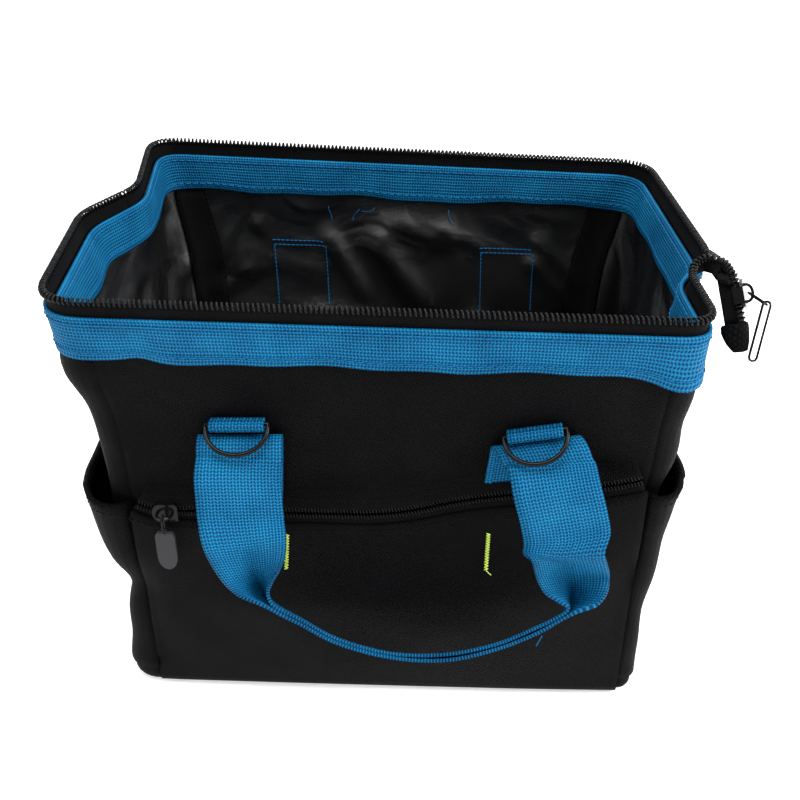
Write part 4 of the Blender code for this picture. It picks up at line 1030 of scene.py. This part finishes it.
# %% Winding a coil
def wound(run, wide, deep, pitch, phase=0.0):
    """The centre line of a helix along a run. deep is its reach along the hang, and wide across it."""
    turn_steps = 8
    line = [p for p, _ in run]
    lengths = row_lengths(line)
    count = int(lengths[-1] / pitch * turn_steps)
    centres, place = [], 0
    for k in range(count + 1):
        distance = min(lengths[-1], k * pitch / turn_steps)
        while place < len(line) - 2 and lengths[place + 1] < distance:
            place += 1
        t = (distance - lengths[place]) / max(1e-9, lengths[place + 1] - lengths[place])
        point = line[place].lerp(line[place + 1], t)
        along = (line[place + 1] - line[place]).normalized()
        hang = run[place][1].lerp(run[place + 1][1], t)
        hang = (hang - along * along.dot(hang)).normalized()
        angle = 2 * math.pi * (k / turn_steps + phase)
        across = along.cross(hang)
        centres.append(point + hang * deep * math.cos(angle) + across * wide * math.sin(angle))
    return centres


for name, run, sewn in (("front", front_run, front_sewn), ("back", back_run, back_sewn)):
    reach = coil_radius - coil_wire
    coil = swept(
        f"mouth_coil_{name}", wound(run, reach, reach, coil_pitch), coil_wire, zip_coil,
        sides=5,
    )
    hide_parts(f"mouth_zip_coil_{name}")
    lengths = row_lengths([p for p, _ in run])
    rows = []
    for share in (0.0, 0.12, 0.3, 0.65, 1.0):
        row = []
        for i, (point, hang) in enumerate(run):
            full = sewn_reach if i < sewn - 2 else free_reach
            meet = (point - run[1][0]).normalized() * split_gap if i == 0 else Vector()
            row.append(point + meet + hang * (coil_bite + (full - coil_radius - coil_bite) * (1 - share)))
        rows.append(row)
    tape = cloth_piece(
        f"mouth_tape_{name}", rows, lambda a, b: (lengths[b], 0.002 * a), zip_tape, tape_thickness
    )
    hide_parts(f"mouth_zip_tape_{name}")
    print(coil.name, len(coil.data.polygons), "faces")


# %% [markdown]
# The zip's free end is closed by a small tab: a square of cloth folded over the two tapes and
# sewn through. It is a flattened sleeve that narrows to its folded end.

# %% Tab on the zip's end
tab_length, tab_depth, tab_half, tab_sides = 0.012, 0.0088, 0.0050, 20
tab_rise = tab_depth * 0.8
tab_rows = []
tab_out = -tail_down
tab_y = tab_out.cross(-tail_aim)
tab_origin = tail_start + tail_aim * (tail_length + 0.0003)
# Shares of the length, of the depth below the coils, of the rise above them, and of the width
for along, deep, high, across in (
    (0, 0.92, 0.35, 1.0), (0.06, 0.98, 0.36, 1.0), (0.25, 1.0, 0.35, 0.95), (0.45, 0.94, 0.30, 0.80),
    (0.65, 0.85, 0.25, 0.6), (0.85, 0.70, 0.14, 0.38), (0.97, 0.58, 0.06, 0.25), (1.0, 0.30, -0.10, 0.08),
):
    low, high_at = -tab_depth * deep, tab_rise * high
    middle, reach, thick = (low + high_at) / 2, (high_at - low) / 2, tab_half * across
    row = []
    for k in range(tab_sides):
        a = 2 * math.pi * k / tab_sides
        c, s = math.cos(a), math.sin(a)
        up = tab_out * (middle + reach * math.copysign(abs(c) ** 0.6, c))
        dent = 0.0004 * noise.noise(Vector((along * 6, c * 2, s * 2)))
        side = tab_y * (thick * math.copysign(abs(s) ** 0.8, s) + dent)
        row.append(tab_origin + tail_aim * tab_length * along + up + side)
    tab_rows.append(row)
tab = cloth_piece(
    "zip_tab_cloth", tab_rows, lambda a, b: (0.0012 * a, 0.0012 * b), black_cloth, tape_thickness, closed=True
)
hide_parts("zip_end_tab")
print("tab rows:", len(tab_rows))


# %% [markdown]
# ## The front pocket
# The pocket panel is a second layer of cloth in front of the wall. It stands off the wall where
# the pocket is slack and comes back to it at the foot and sides. The zip above it isn't straight:
# it climbs to the right, so the pocket's top climbs with it.

# %% The front and back walls as straight sheets
def straight_wall(first, last):
    """A function of x, height and outward offset on the flat stretch between two columns."""

    def at(x, height, offset=0.0, follow=0.0):
        start, end = wall_point(first, height, 0, 0), wall_point(last, height, 0, 0)
        share = (x - start.x) / (end.x - start.x)
        normal = end - start
        normal.z = 0
        normal = normal.cross(plain_up).normalized()
        point = start.lerp(end, share)
        point.z = height
        if follow:
            offset += follow * creases(point, height)
        return point + normal * offset

    return at


front_wall = straight_wall(front_start, front_end)
back_wall = straight_wall(back_start, back_end)

# %% The zip's course
zip_stand = 0.0044
pocket_coil_gap, pocket_coil_wire, pocket_coil_pitch = 0.00175, 0.00030, 0.0015
pocket_coil_wide, pocket_coil_deep = 0.00132, 0.00085
# Place across the front, and how far the zip stands above its straight left part
zip_course = (
    (-0.131, 0.0125), (-0.122, 0.0085), (-0.114, 0.0034), (-0.107, 0.0003), (-0.100, 0.0),
    (0.0059, 0.0), (0.0406, 0.0106), (0.0805, 0.0156), (0.1087, 0.0196), (0.128, 0.0265),
)


def zip_lift(x):
    return softened(zip_course, x, min(0.014, max(0.003, (x + 0.088) * 0.6)))


def zip_side(x, shift):
    """A place (x, height) beside the zip's course, shifted square to it."""
    slope = (zip_lift(x + 0.001) - zip_lift(x - 0.001)) / 0.002
    size = math.hypot(1, slope)
    return x - slope / size * shift, zip_height + zip_lift(x) + shift / size


zip_left = wall_point(front_start, zip_height, zip_stand, 0)
zip_right = wall_point(front_end, zip_height, zip_stand, 0)
zip_xs = heights(zip_left.x + 0.003, zip_right.x - 0.003, 0.0022)
print("zip from", round(zip_xs[0], 4), "to", round(zip_xs[-1], 4))

# %% Pocket panel
pocket_top = zip_height - 0.0056
pocket_close = cloth_thickness + layer_gap
pocket_flat = zip_stand + tape_thickness / 2 + layer_gap + cloth_thickness / 2
pocket_bulge = 0.0085
pocket_middle, pocket_half = (front_start + front_end) / 2, (front_end - front_start) / 2


def pocket_offset(across, height):
    """How far the pocket stands off the wall: closed at its foot and sides, round in between."""
    up = min(1.0, height / pocket_top)
    body = (1 - abs(across) ** 4) * math.sin(math.pi * 0.82 * max(0.0, up)) ** 0.8
    side = 1 - ease((abs(across) - 0.93) / 0.07)
    fill = ease((up - 0.55) / 0.27)
    place = Vector((across * 2.4, up * 1.6, 2.0))
    slack = 0.0018 * noise.noise(place * 1.6) * side * math.sin(math.pi * min(1, up)) ** 2
    rim = pocket_flat - pocket_close
    return pocket_close + pocket_bulge * body * side * (1 - fill) + rim * fill + slack


def pocket_rows():
    """The panel's rows, with two more where its top edge turns in behind. They are marked -1 and -2."""
    levels = foot_levels + heights(even_start, pocket_top, column_pitch)
    rows = []
    for h in [*levels, -1, -2]:
        height = h if h > 0 else pocket_top - (0.0002 if h == -1 else 0.0022)
        turned = 0.0 if h > 0 else (0.0009 if h == -1 else 0.0016)
        row = []
        for c in range(front_start, front_end + 1):
            stretch = 1 + zip_lift(wall_point(c, height, 0, 0).x) / pocket_top
            offset = pocket_offset((c - pocket_middle) / pocket_half, height) - turned
            lifted = height * stretch + (0.0005 if h == -1 else 0)
            row.append(wall_point(c, lifted, offset, 0.35))
        rows.append(row)
    return levels + [pocket_top + 0.001, pocket_top + 0.003], rows


levels, rows = pocket_rows()
pocket = cloth_piece(
    "front_pocket_cloth", rows, lambda a, b: (along_mouth[front_start + b], levels[a]), black_cloth,
    cloth_thickness, coated_lining,
)
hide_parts("front_pocket_panel")
declare_cut(pocket, rows)


def pocket_at(x, z, lift=0.0):
    """A point on the pocket's outer face."""
    height = z / (1 + zip_lift(x) / pocket_top)
    offset = pocket_offset((x - (zip_left.x + zip_right.x) / 2) / ((zip_right.x - zip_left.x) / 2), height)
    offset += 0.35 * creases(front_wall(x, z), z)
    return front_wall(x, z, offset + cloth_thickness / 2 + lift)


# %% [markdown]
# The side pockets are open at the top. Their cloth is cut longer than the wall behind it, so the
# rim gapes, most of all near the front. The rim is turned under and sewn.

# %% Side pockets
right_rim_lift, rim_stitch_pitch = 0.006, 0.0034
for name, first, last, top, front_is_first, gape, skew in (
    ("right", front_end, back_start, right_pocket_height + right_rim_lift, True, 0.0095, 0.40),
    ("left", back_end, front_start + columns, left_pocket_height, False, 0.0145, 0.50),
):
    levels = heights(pocket_foot, top, 0.0040) + [top + 0.0012, top + 0.0034]
    rows = []
    for n, h in enumerate(levels):
        turned = max(0, n - (len(levels) - 3))
        height = top + 0.0004 if turned == 1 else (top - 0.0060 if turned == 2 else h)
        up = (height - pocket_foot) / (top - pocket_foot)
        row = []
        for c in range(first, last + 1):
            share = (c - first) / (last - first)
            share = share if front_is_first else 1 - share
            stand = gape * math.sin(math.pi * share**skew) * max(0.0, min(1.0, up)) ** 1.7
            free = math.sin(math.pi * share)
            gather = 0.0006 * math.sin(along_mouth[c] * 190) * ease((up - 0.80) / 0.2) * free
            loose = 0.0016 * noise.noise(Vector((along_mouth[c] * 26, up * 3, 4))) * free
            offset = cloth_thickness + layer_gap + stand + gather + loose - 0.0010 * turned
            row.append(wall_point(c, height, max(offset, cloth_thickness + thread_stand)))
        rows.append(row)
    made = cloth_piece(
        f"{name}_pocket_cloth", rows, lambda a, b: (along_mouth[first + b], levels[a]), black_cloth,
        cloth_thickness, coated_lining,
    )
    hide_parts(f"{name}_side_pocket")
    declare_cut(made, rows)
    rim_row = rows[-4]
    outs = [outward(c, 0.1) for c in range(first, last + 1)]
    rim = [p + o * (cloth_thickness / 2 + thread_stand) for p, o in zip(rim_row, outs)]
    stitch_mesh(
        f"{name}_pocket_stitches", stitches_along(rim, outs, rim_stitch_pitch), black_stitch, black_thread,
    )

# %% [markdown]
# The pocket's zip is a smaller pair of coils, closed, so the two helixes lie in each other half a
# turn out of step. Below them the lower tape shows as a thin strip. Above them the wall's cloth
# is folded and comes forward to the coils in a soft S.

# %% The pocket's zip
for name, side, phase in (("upper", 1, 0.0), ("lower", -1, 0.5)):
    run = []
    for x in zip_xs:
        place_x, height = zip_side(x, pocket_coil_gap * side)
        run.append((front_wall(place_x, height, zip_stand), Vector((0, 1, 0))))
    centres = wound(run, pocket_coil_wide, pocket_coil_deep, pocket_coil_pitch, phase)
    coil = swept(f"pocket_coil_{name}", centres, pocket_coil_wire, zip_coil, sides=5)
    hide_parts(f"pocket_zip_coil_{name}")
    # Each row of the tape: its distance from the zip's middle, its stand, and how far it follows the wall
    if side > 0:
        profile = (
            (0.0024, zip_stand - 0.0008, 0.0), (0.0026, zip_stand, 0.0), (0.0034, zip_stand + 0.0001, 0.0),
            (0.0046, zip_stand - 0.0006, 0.2), (0.0060, 0.0026, 0.5), (0.0074, 0.0014, 0.8),
            (0.0088, 0.0007, 1.0), (0.0110, 0.00035, 1.0),
        )
        finish, thickness, slot = black_cloth, 0.0011, "black_oxford_fabric"
    else:
        profile = [(shift, zip_stand, 0.0) for shift in (0.0012, 0.0040, 0.0075, 0.0110)]
        finish, thickness, slot = zip_tape, tape_thickness, "black_zip_tape"
    rows = []
    for shift, stand, follow in profile:
        places = [zip_side(x, shift * side) for x in zip_xs]
        rows.append([front_wall(x, z, stand, follow) for x, z in places])
    tape = cloth_piece(
        f"pocket_tape_{name}", rows, lambda a, b: (zip_xs[b], profile[a][0]), finish, thickness
    )
    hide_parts(f"pocket_zip_tape_{name}")
    print(coil.name, len(coil.data.polygons), "faces")

# One row in the wall's fold above the zip, and one in the pocket below it
hem_stitches = []
for shift, stand in ((0.0064, 0.0030), (-0.0086, pocket_flat + 0.0008)):
    places = [zip_side(x, shift) for x in zip_xs]
    points = [front_wall(x, z, stand) if shift > 0 else pocket_at(x, z, 0.0001) for x, z in places]
    hem_stitches += stitches_along(points, [Vector((0, -1, 0))] * len(points), seam_stitch_pitch)
stitch_mesh("pocket_zip_stitches", hem_stitches, 0.00022, black_thread)


# %% [markdown]
# Two short rows of lime thread hold the pocket's inner dividers. They are sewn as a narrow zigzag.

# %% Lime tacks
lime_wide, lime_radius = 0.0020, 0.00034
# Each tack's two ends, and how many stitches cross it
lime_tacks = (
    (((-0.0440, 0.1070), (-0.0456, 0.0860)), 26),
    (((0.0500, 0.1098), (0.0497, 0.0885)), 28),
)


def zigzag(points, wide, count, at):
    """Slanted stitches that cross a line of (x, z) points, a wide zigzag count stitches long."""
    made = []
    (x0, z0), (x1, z1) = points
    for k in range(count):
        ends = []
        for step in (k, k + 1):
            t, side = step / count, (1 if step % 2 else -1) * wide / 2
            ends.append(at(x0 + (x1 - x0) * t + side, z0 + (z1 - z0) * t))
        made.append((ends[0], ends[1], Vector((0, -1, 0.1)).normalized()))
    return made


lime = []
for tack, count in lime_tacks:
    lime += zigzag(tack, lime_wide, count, lambda x, z: pocket_at(x, z, 0.0002))
stitch_mesh("lime_tacks", lime, lime_radius, lime_thread)
end_x, end_z = lime_tacks[1][0][1]
tail_points = [
    pocket_at(end_x + 0.0006 * k, end_z - 0.0006 * k, 0.0004 + 0.0002 * (k % 3)) for k in range(5)
]
swept("lime_thread_end", tail_points, 0.00026, lime_thread)
print("lime stitches:", len(lime))

# %% [markdown]
# ## Handles
# A handle is one length of webbing. It is sewn up the wall, folds over at its tack, hangs down and
# crosses to the other side. At the grip it is folded in half lengthways, so the flat strap closes
# like a book on the way down. The frame cuts it at the hinges. Here it is one strip again, which
# is fixed in place and rides on no body.

# %% Sizes of the handles
strap_half_spacing = 0.0635
handle_reach = 0.0128
root_fold_height = tack_height - 0.0034
foot_tuck = 0.0052
fold_rise = 0.0058
seat = cloth_thickness / 2 + layer_gap + webbing_thickness / 2
# How much the leaves are drawn together at most, up to what width, and how soon it eases off
squeeze_most, squeeze_width, squeeze_reach = 0.0016, 0.007, 0.010

# From the left hinge to the right one, in millimetres: the strap's outer edge, middle line and
# inner edge, each as its place across, its reach out from the hinge, and its height.
handle_course = (
    (-80.9, 0.3, 153.4, -61.9, 0.3, 153.4, -42.9, 0.3, 153.4),
    (-80.8, 8.4, 148.4, -62.3, 4.7, 146.4, -43.5, 2.3, 145.1),
    (-80.2, 12.1, 139.3, -61.7, 8.5, 137.2, -42.9, 6.1, 135.9),
    (-79.5, 15.6, 129.9, -61, 11.8, 128.1, -42.2, 9.2, 127.2),
    (-76.5, 23, 122.3, -59.6, 15, 118.8, -40.9, 15.4, 122.2),
    (-72.9, 24.9, 113.3, -58.6, 14, 107.1, -41.5, 18.2, 114.3),
    (-67.7, 25.8, 103.5, -56.9, 12, 96.1, -44.1, 20.1, 107.5),
    (-62.6, 24.8, 96.4, -55.1, 10, 87.1, -47.6, 20.3, 101.2),
    (-56.4, 24, 90.5, -52.4, 9, 79.6, -48.9, 20.2, 94.5),
    (-48.6, 23.7, 85.1, -47.7, 8.5, 73.7, -46, 21, 87.9),
    (-35.7, 23.8, 77.1, -36.6, 8.5, 65.8, -35.5, 20.9, 80.2),
    (-19.1, 23.4, 65.8, -20.3, 8.5, 54.2, -19.2, 20.8, 68.6),
    (5.5, 24.1, 57.6, 5.3, 9, 46.1, 5.4, 20.6, 61.1),
    (31.1, 24.9, 57.4, 31.4, 9.5, 46.2, 31, 20.7, 61.6),
    (54, 24.8, 64.9, 54.7, 9.5, 53.7, 53, 21, 68.7),
    (73, 24.5, 75.6, 73.5, 9, 64.5, 69.4, 21.1, 78.6),
    (85.9, 23.3, 85.9, 85.1, 8.5, 74, 80.6, 21.8, 86.7),
    (92.3, 22.7, 89.8, 88, 8, 78.6, 84, 21.8, 91),
    (99.1, 20.3, 92.5, 88.6, 7.5, 83.1, 81.8, 21.5, 94),
    (103, 17.1, 96.9, 88, 7.5, 90.4, 75, 19.4, 97.5),
    (104.4, 11.9, 101.4, 85.7, 9, 100, 70.5, 18.7, 106),
    (101.6, 16.9, 112.1, 83, 13.5, 111.3, 67.4, 22.2, 118),
    (99.3, 19.4, 121.1, 80.7, 18, 117.8, 63.8, 19, 119.8),
    (101.4, 15.8, 129, 83, 15.7, 124.1, 64, 16.3, 122.8),
    (99.4, 13.2, 139, 80.9, 12.8, 134.5, 62.3, 13.6, 130.8),
    (96.1, 8.4, 149.9, 77.7, 8, 145.4, 59, 8.8, 141.8),
    (94.6, 0.3, 154.9, 75.6, 0.3, 153.4, 56.6, 0.3, 151.9),
)
# Each strap's end: where its foot, fold, hinge and ring stand, as shares of half the spacing, and
# how far it is tilted, as a share of a right angle
strap_ends = (("left", -1.02, -0.985, -0.975, -0.995, 0.02), ("right", 1.04, 1.07, 1.190, 1.07, 0.125))
# Each row of the fold: shares of the way out, the fold's height, the tilt, and the way across
root_fold = (
    (0.0, 0.0, 1.0, 0.0), (0.10, 0.55, 1.0, 0.05), (0.34, 0.62, 1.0, 0.28),
    (0.68, 0.30, 0.90, 0.56), (0.90, -0.35, 0.75, 0.82),
)
strap_shares = (-1.0, -0.75, -0.5, -0.25, -0.08, 0.08, 0.25, 0.5, 0.75, 1.0)
half_width = handle_width / 2


# %% The strap's rows
def smooth_values(rows, steps):
    """A smooth curve through rows of numbers."""
    result = []
    for i in range(len(rows) - 1):
        four = [rows[k] for k in (max(0, i - 1), i, i + 1, min(len(rows) - 1, i + 2))]
        for k in range(steps):
            result.append([curved(*values, k / steps) for values in zip(*four)])
    return result + [list(rows[-1])]


def smooth_points(rows, steps):
    """The same for rows of points."""
    plain = smooth_values([[v for p in row for v in p] for row in rows], steps)
    return [[Vector(row[i : i + 3]) for i in range(0, len(row), 3)] for row in plain]


def sewn_point(wall, ends, s, share, stand):
    """A point on a strap's sewn part: share 0 is its foot and 1 its fold, and s goes from edge to edge."""
    _, foot, bend, _, _, tilt = ends
    lean = math.sin(tilt * math.pi / 2) * half_width
    x_low, x_high = (place * strap_half_spacing + s * half_width for place in (foot, bend))
    low = zip_height + zip_lift(x_low) + foot_tuck
    high = root_fold_height + s * lean
    return wall(x_low + (x_high - x_low) * share, low + (high - low) * share, stand, 1.0 - share)


def root_rows(wall, strap_y, ends, edge):
    """Rows of one sewn end, from its foot up to its fold and down to the hinge.

    edge is 1 where the strap's own first edge is the left one, and -1 where it is the right one.
    """
    _, _, bend, hinge, _, tilt = ends
    lean = math.sin(tilt * math.pi / 2) * half_width
    across = [edge * share for share in strap_shares]
    rows = [[sewn_point(wall, ends, s, share, seat) for s in across] for share in (0.0, 0.2, 0.45, 0.7, 0.9)]
    for out_share, up_share, tilt_share, across_share in root_fold:
        row = []
        for s in across:
            x = (bend + (hinge - bend) * across_share) * strap_half_spacing + s * half_width
            inner = wall(x, root_fold_height + fold_rise * up_share + s * lean * tilt_share, seat)
            row.append(inner.lerp(Vector((inner.x, strap_y, inner.z)), out_share))
        rows.append(row)
    return rows


def hanging_rows(strap_y, out):
    """Rows of the hanging part. Each half of the width is a leaf from the middle line to an edge."""
    rows = []
    for values in smooth_values(handle_course, 5):
        outer, middle, inner = [
            Vector((values[i] * 0.001, strap_y + out * values[i + 1] * 0.001, values[i + 2] * 0.001))
            for i in (0, 3, 6)
        ]
        apart = (outer - inner).normalized()
        squeeze = squeeze_most * (1 - ease(((outer - inner).length - squeeze_width) / squeeze_reach))
        outer, inner = outer - apart * squeeze, inner + apart * squeeze
        row = []
        for s in strap_shares:
            point = middle.lerp(outer if s > 0 else inner, abs(s))
            half_gap = (outer - inner).length / 2 * abs(s)
            point += apart * math.copysign(max(0.0, webbing_thickness * 0.56 - half_gap), s)
            row.append(point)
        rows.append(row)
    return rows


# %% Both handles
def settled(piece):
    """Applies a piece's modifiers to its mesh."""
    bpy.context.view_layer.update()
    graph = bpy.context.evaluated_depsgraph_get()
    solid = piece.evaluated_get(graph)
    mesh = bpy.data.meshes.new_from_object(solid, preserve_all_data_layers=True, depsgraph=graph)
    piece.modifiers.clear()
    piece.data = mesh


for face, wall, out in (("front", front_wall, -1), ("back", back_wall, 1)):
    strap_y = wall(0, hinge_height, handle_reach).y
    left, right = strap_ends
    rows = smooth_points(root_rows(wall, strap_y, left, -1), 3)
    rows += hanging_rows(strap_y, out)
    rows += list(reversed(smooth_points(root_rows(wall, strap_y, right, 1), 3)))
    lengths = row_lengths([(row[4] + row[5]) / 2 for row in rows])
    made = cloth_piece(
        f"{face}_handle_strap", rows,
        lambda a, b: (lengths[a], handle_width * (strap_shares[b] + 1) / 2), blue_webbing,
        webbing_thickness, body=None,
    )
    settled(made)
    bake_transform(made)
    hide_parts(f"{face}_handle", f"{face}_handle_root_left", f"{face}_handle_root_right")
    print(made.name, "webbing length", round(lengths[-1], 3))

# %% [markdown]
# ## Rings and their loops
# Each D-ring hangs in a short loop of webbing sewn into the handle's tack. The frame's ring is
# thicker than the real wire so that it is strong enough for its tests. A thinner one is swept
# here, and it hangs a little lower, as it does in the picture.

# %% Ring loops
loop_half_bore = 0.00125
ring_seat = cloth_thickness / 2 + layer_gap + webbing_thickness + layer_gap + loop_half_bore
loop_width, loop_tail, loop_drop, right_drop = 0.0245, 0.0020, 0.0014, 0.0013
loop_turn_steps, loop_half_steps = 12, 4
ring_tilt, ring_reach, ring_sag = math.radians(50), 0.0142, 0.0009
ring_half_width, ring_wire, ring_arc_steps = 0.0140, 0.0011, 32
for face, wall, out in (("front", front_wall, -1), ("back", back_wall, 1)):
    for side, _, _, _, ring_share, tilt in strap_ends:
        lean = tilt * math.pi / 2
        along = Vector((math.cos(lean), 0, math.sin(lean)))
        up = Vector((-math.sin(lean), 0, math.cos(lean)))
        middle_x = ring_share * strap_half_spacing
        lower = right_drop if side == "right" else 0.0
        reach = ring_seat - seat
        profile = [(seat, loop_tail), (seat, loop_tail / 3)]
        for k in range(loop_turn_steps + 1):
            a = math.pi * k / loop_turn_steps
            profile.append((ring_seat - reach * math.cos(a), -reach * math.sin(a)))
        profile += [(ring_seat + reach, loop_tail * 0.45), (seat + webbing_thickness + layer_gap, loop_tail)]
        lengths = [0.0]
        for (a, b), (c, d) in zip(profile, profile[1:]):
            lengths.append(lengths[-1] + math.hypot(c - a, d - b))
        rows = []
        for offset, rise in profile:
            shares = [s / loop_half_steps for s in range(-loop_half_steps, loop_half_steps + 1)]
            places = [along * share * loop_width / 2 + up * rise for share in shares]
            rows.append([wall(middle_x + p.x, ring_height - loop_drop - lower + p.z, offset) for p in places])
        made = cloth_piece(
            f"{face}_loop_{side}", rows,
            lambda a, b: (lengths[a], loop_width * b / (2 * loop_half_steps)), blue_webbing,
            webbing_thickness,
        )
        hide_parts(f"{face}_d_ring_loop_{side}")
        row = [p + Vector((0, out * (webbing_thickness / 2 + thread_stand), 0)) for p in rows[11]]
        stitch_mesh(
            f"{face}_loop_stitches_{side}", stitches_along(row, [Vector((0, out, 0))] * len(row), 0.0024),
            stitch_radius, blue_thread,
        )

        centre = wall(middle_x, ring_height - ring_sag - lower, ring_seat)
        down = Vector((0, out * math.sin(ring_tilt), 0)) - up * math.cos(ring_tilt)
        line = []
        for k in range(ring_arc_steps + 1):
            a = math.pi * k / ring_arc_steps
            point = centre + along * ring_half_width * math.cos(a)
            line.append(point + down * ring_reach * math.sin(a) ** 0.85)
        line += [centre - along * ring_half_width * share for share in (0.6, 0.2, -0.2, -0.6)]
        ring = swept(
            f"{face}_ring_{side}", line, ring_wire, black_lacquer,
            f"{face}_d_ring_{side}", sides=10, plane=along.cross(down).normalized(), closed=True,
        )
        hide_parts(f"{face}_d_ring_{side}")
print("loops: 4, rings: 4")


# %% [markdown]
# ## Stitching through the walls
# The straps' stitching comes through the back wall as blue rectangles, and a few thread ends hang
# loose under the inner band.

# %% Strap stitches on the back wall's inner face
def inner_back(x, z, lift=0.0):
    """A point on the back wall's inner face, a little inside it."""
    return back_wall(x, z, -(cloth_thickness / 2 + 0.0002 + lift), 1.0)


def inner_line(start, end, pitch=0.0026, share=0.8):
    """A straight row of stitches between two (x, z) places on the back wall's inner face."""
    steps = 12
    points = [
        inner_back(start[0] + (end[0] - start[0]) * k / steps, start[1] + (end[1] - start[1]) * k / steps)
        for k in range(steps + 1)
    ]
    return stitches_along(points, [Vector((0, -1, 0))] * len(points), pitch, share)


box_stitches = []
row_gap, row_slope, box_height = 0.0030, 0.0008, 0.0440
for left, right, top in ((-0.0745, -0.0420, 0.1725), (0.0490, 0.0815, 0.1690)):
    box_stitches += inner_line((left, top), (right, top - row_slope))
    box_stitches += inner_line((left + 0.0006, top - row_gap), (right, top - row_gap - 0.0006))
    for x in (left + 0.0010, right - 0.0006):
        box_stitches += inner_line((x, top - row_gap - 0.0006), (x + row_slope, top - box_height))
stitch_mesh("back_wall_stitches", box_stitches, 0.00034, blue_thread)

# %% Front straps' own stitches
strap_stitches = []
strap_face = seat + webbing_thickness / 2 + thread_stand
for ends in strap_ends:
    for s in (-0.86, 0.86):
        shares = (0.04, 0.25, 0.5, 0.75, 0.96)
        points = [sewn_point(front_wall, ends, s, share, strap_face) for share in shares]
        strap_stitches += stitches_along(points, [Vector((0, -1, 0))] * len(points), 0.0030, 0.8)
stitch_mesh("front_strap_stitches", strap_stitches, stitch_radius, blue_thread)
print("stitches on the straps:", len(box_stitches) + len(strap_stitches))

# %% Loose thread ends
loose = random.Random(11)
thread_starts = ((-0.040, 0.1945), (-0.022, 0.1930), (-0.013, 0.1940), (0.030, 0.1935))
for k, (x, z) in enumerate(thread_starts):
    line, place = [], Vector((x, 0, z))
    drift = loose.uniform(-0.5, 0.5)
    for step in range(9):
        line.append(inner_back(place.x, place.z, 0.0006 + 0.0006 * math.sin(step * 0.8)))
        drift += loose.uniform(-0.35, 0.35)
        place += Vector((0.0011 * math.sin(drift), 0, -0.0011 * math.cos(drift)))
    swept(f"loose_thread_{k}", line, 0.00018, blue_thread, sides=5)
hinge_y = front_wall(0, hinge_height, handle_reach).y
grip_start, grip_step = Vector((0.0745, hinge_y - 0.0255, 0.0772)), Vector((-0.0005, -0.0003, -0.0010))
line = [grip_start + grip_step * step for step in range(6)]
swept("grip_thread", line, 0.00020, blue_thread, body="front_handle", sides=5)
print("loose threads: 5")

# %% [markdown]
# ## Hardware
# The rigid pieces keep the frame's shape. The sliders and pulls get black lacquer, and the
# pocket's pull gets its own finish.

# %% Finishes for the frame's own pieces
def dress(names, finish):
    """Gives a finish to the frame's own nodes."""
    for name in names:
        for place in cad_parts[name].material_slots:
            place.material = finish


dress(["mouth_slider", "mouth_pull_ring", "mouth_pull_tab", "pocket_slider"], black_lacquer)
tab_height = 0.0222
dress(["pocket_pull"], pull_finish(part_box("pocket_pull")[0].z + tab_height))
print("dressed nodes")

# %% Sizes, and the end
visual_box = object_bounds()


def plain(box):
    """A box as plain lists of numbers."""
    return [[float(v) for v in corner] for corner in box]


{"frame": plain(frame_box), "visual": plain(visual_box)}
print("frame box:", plain(frame_box))
print("visual box:", plain(visual_box))
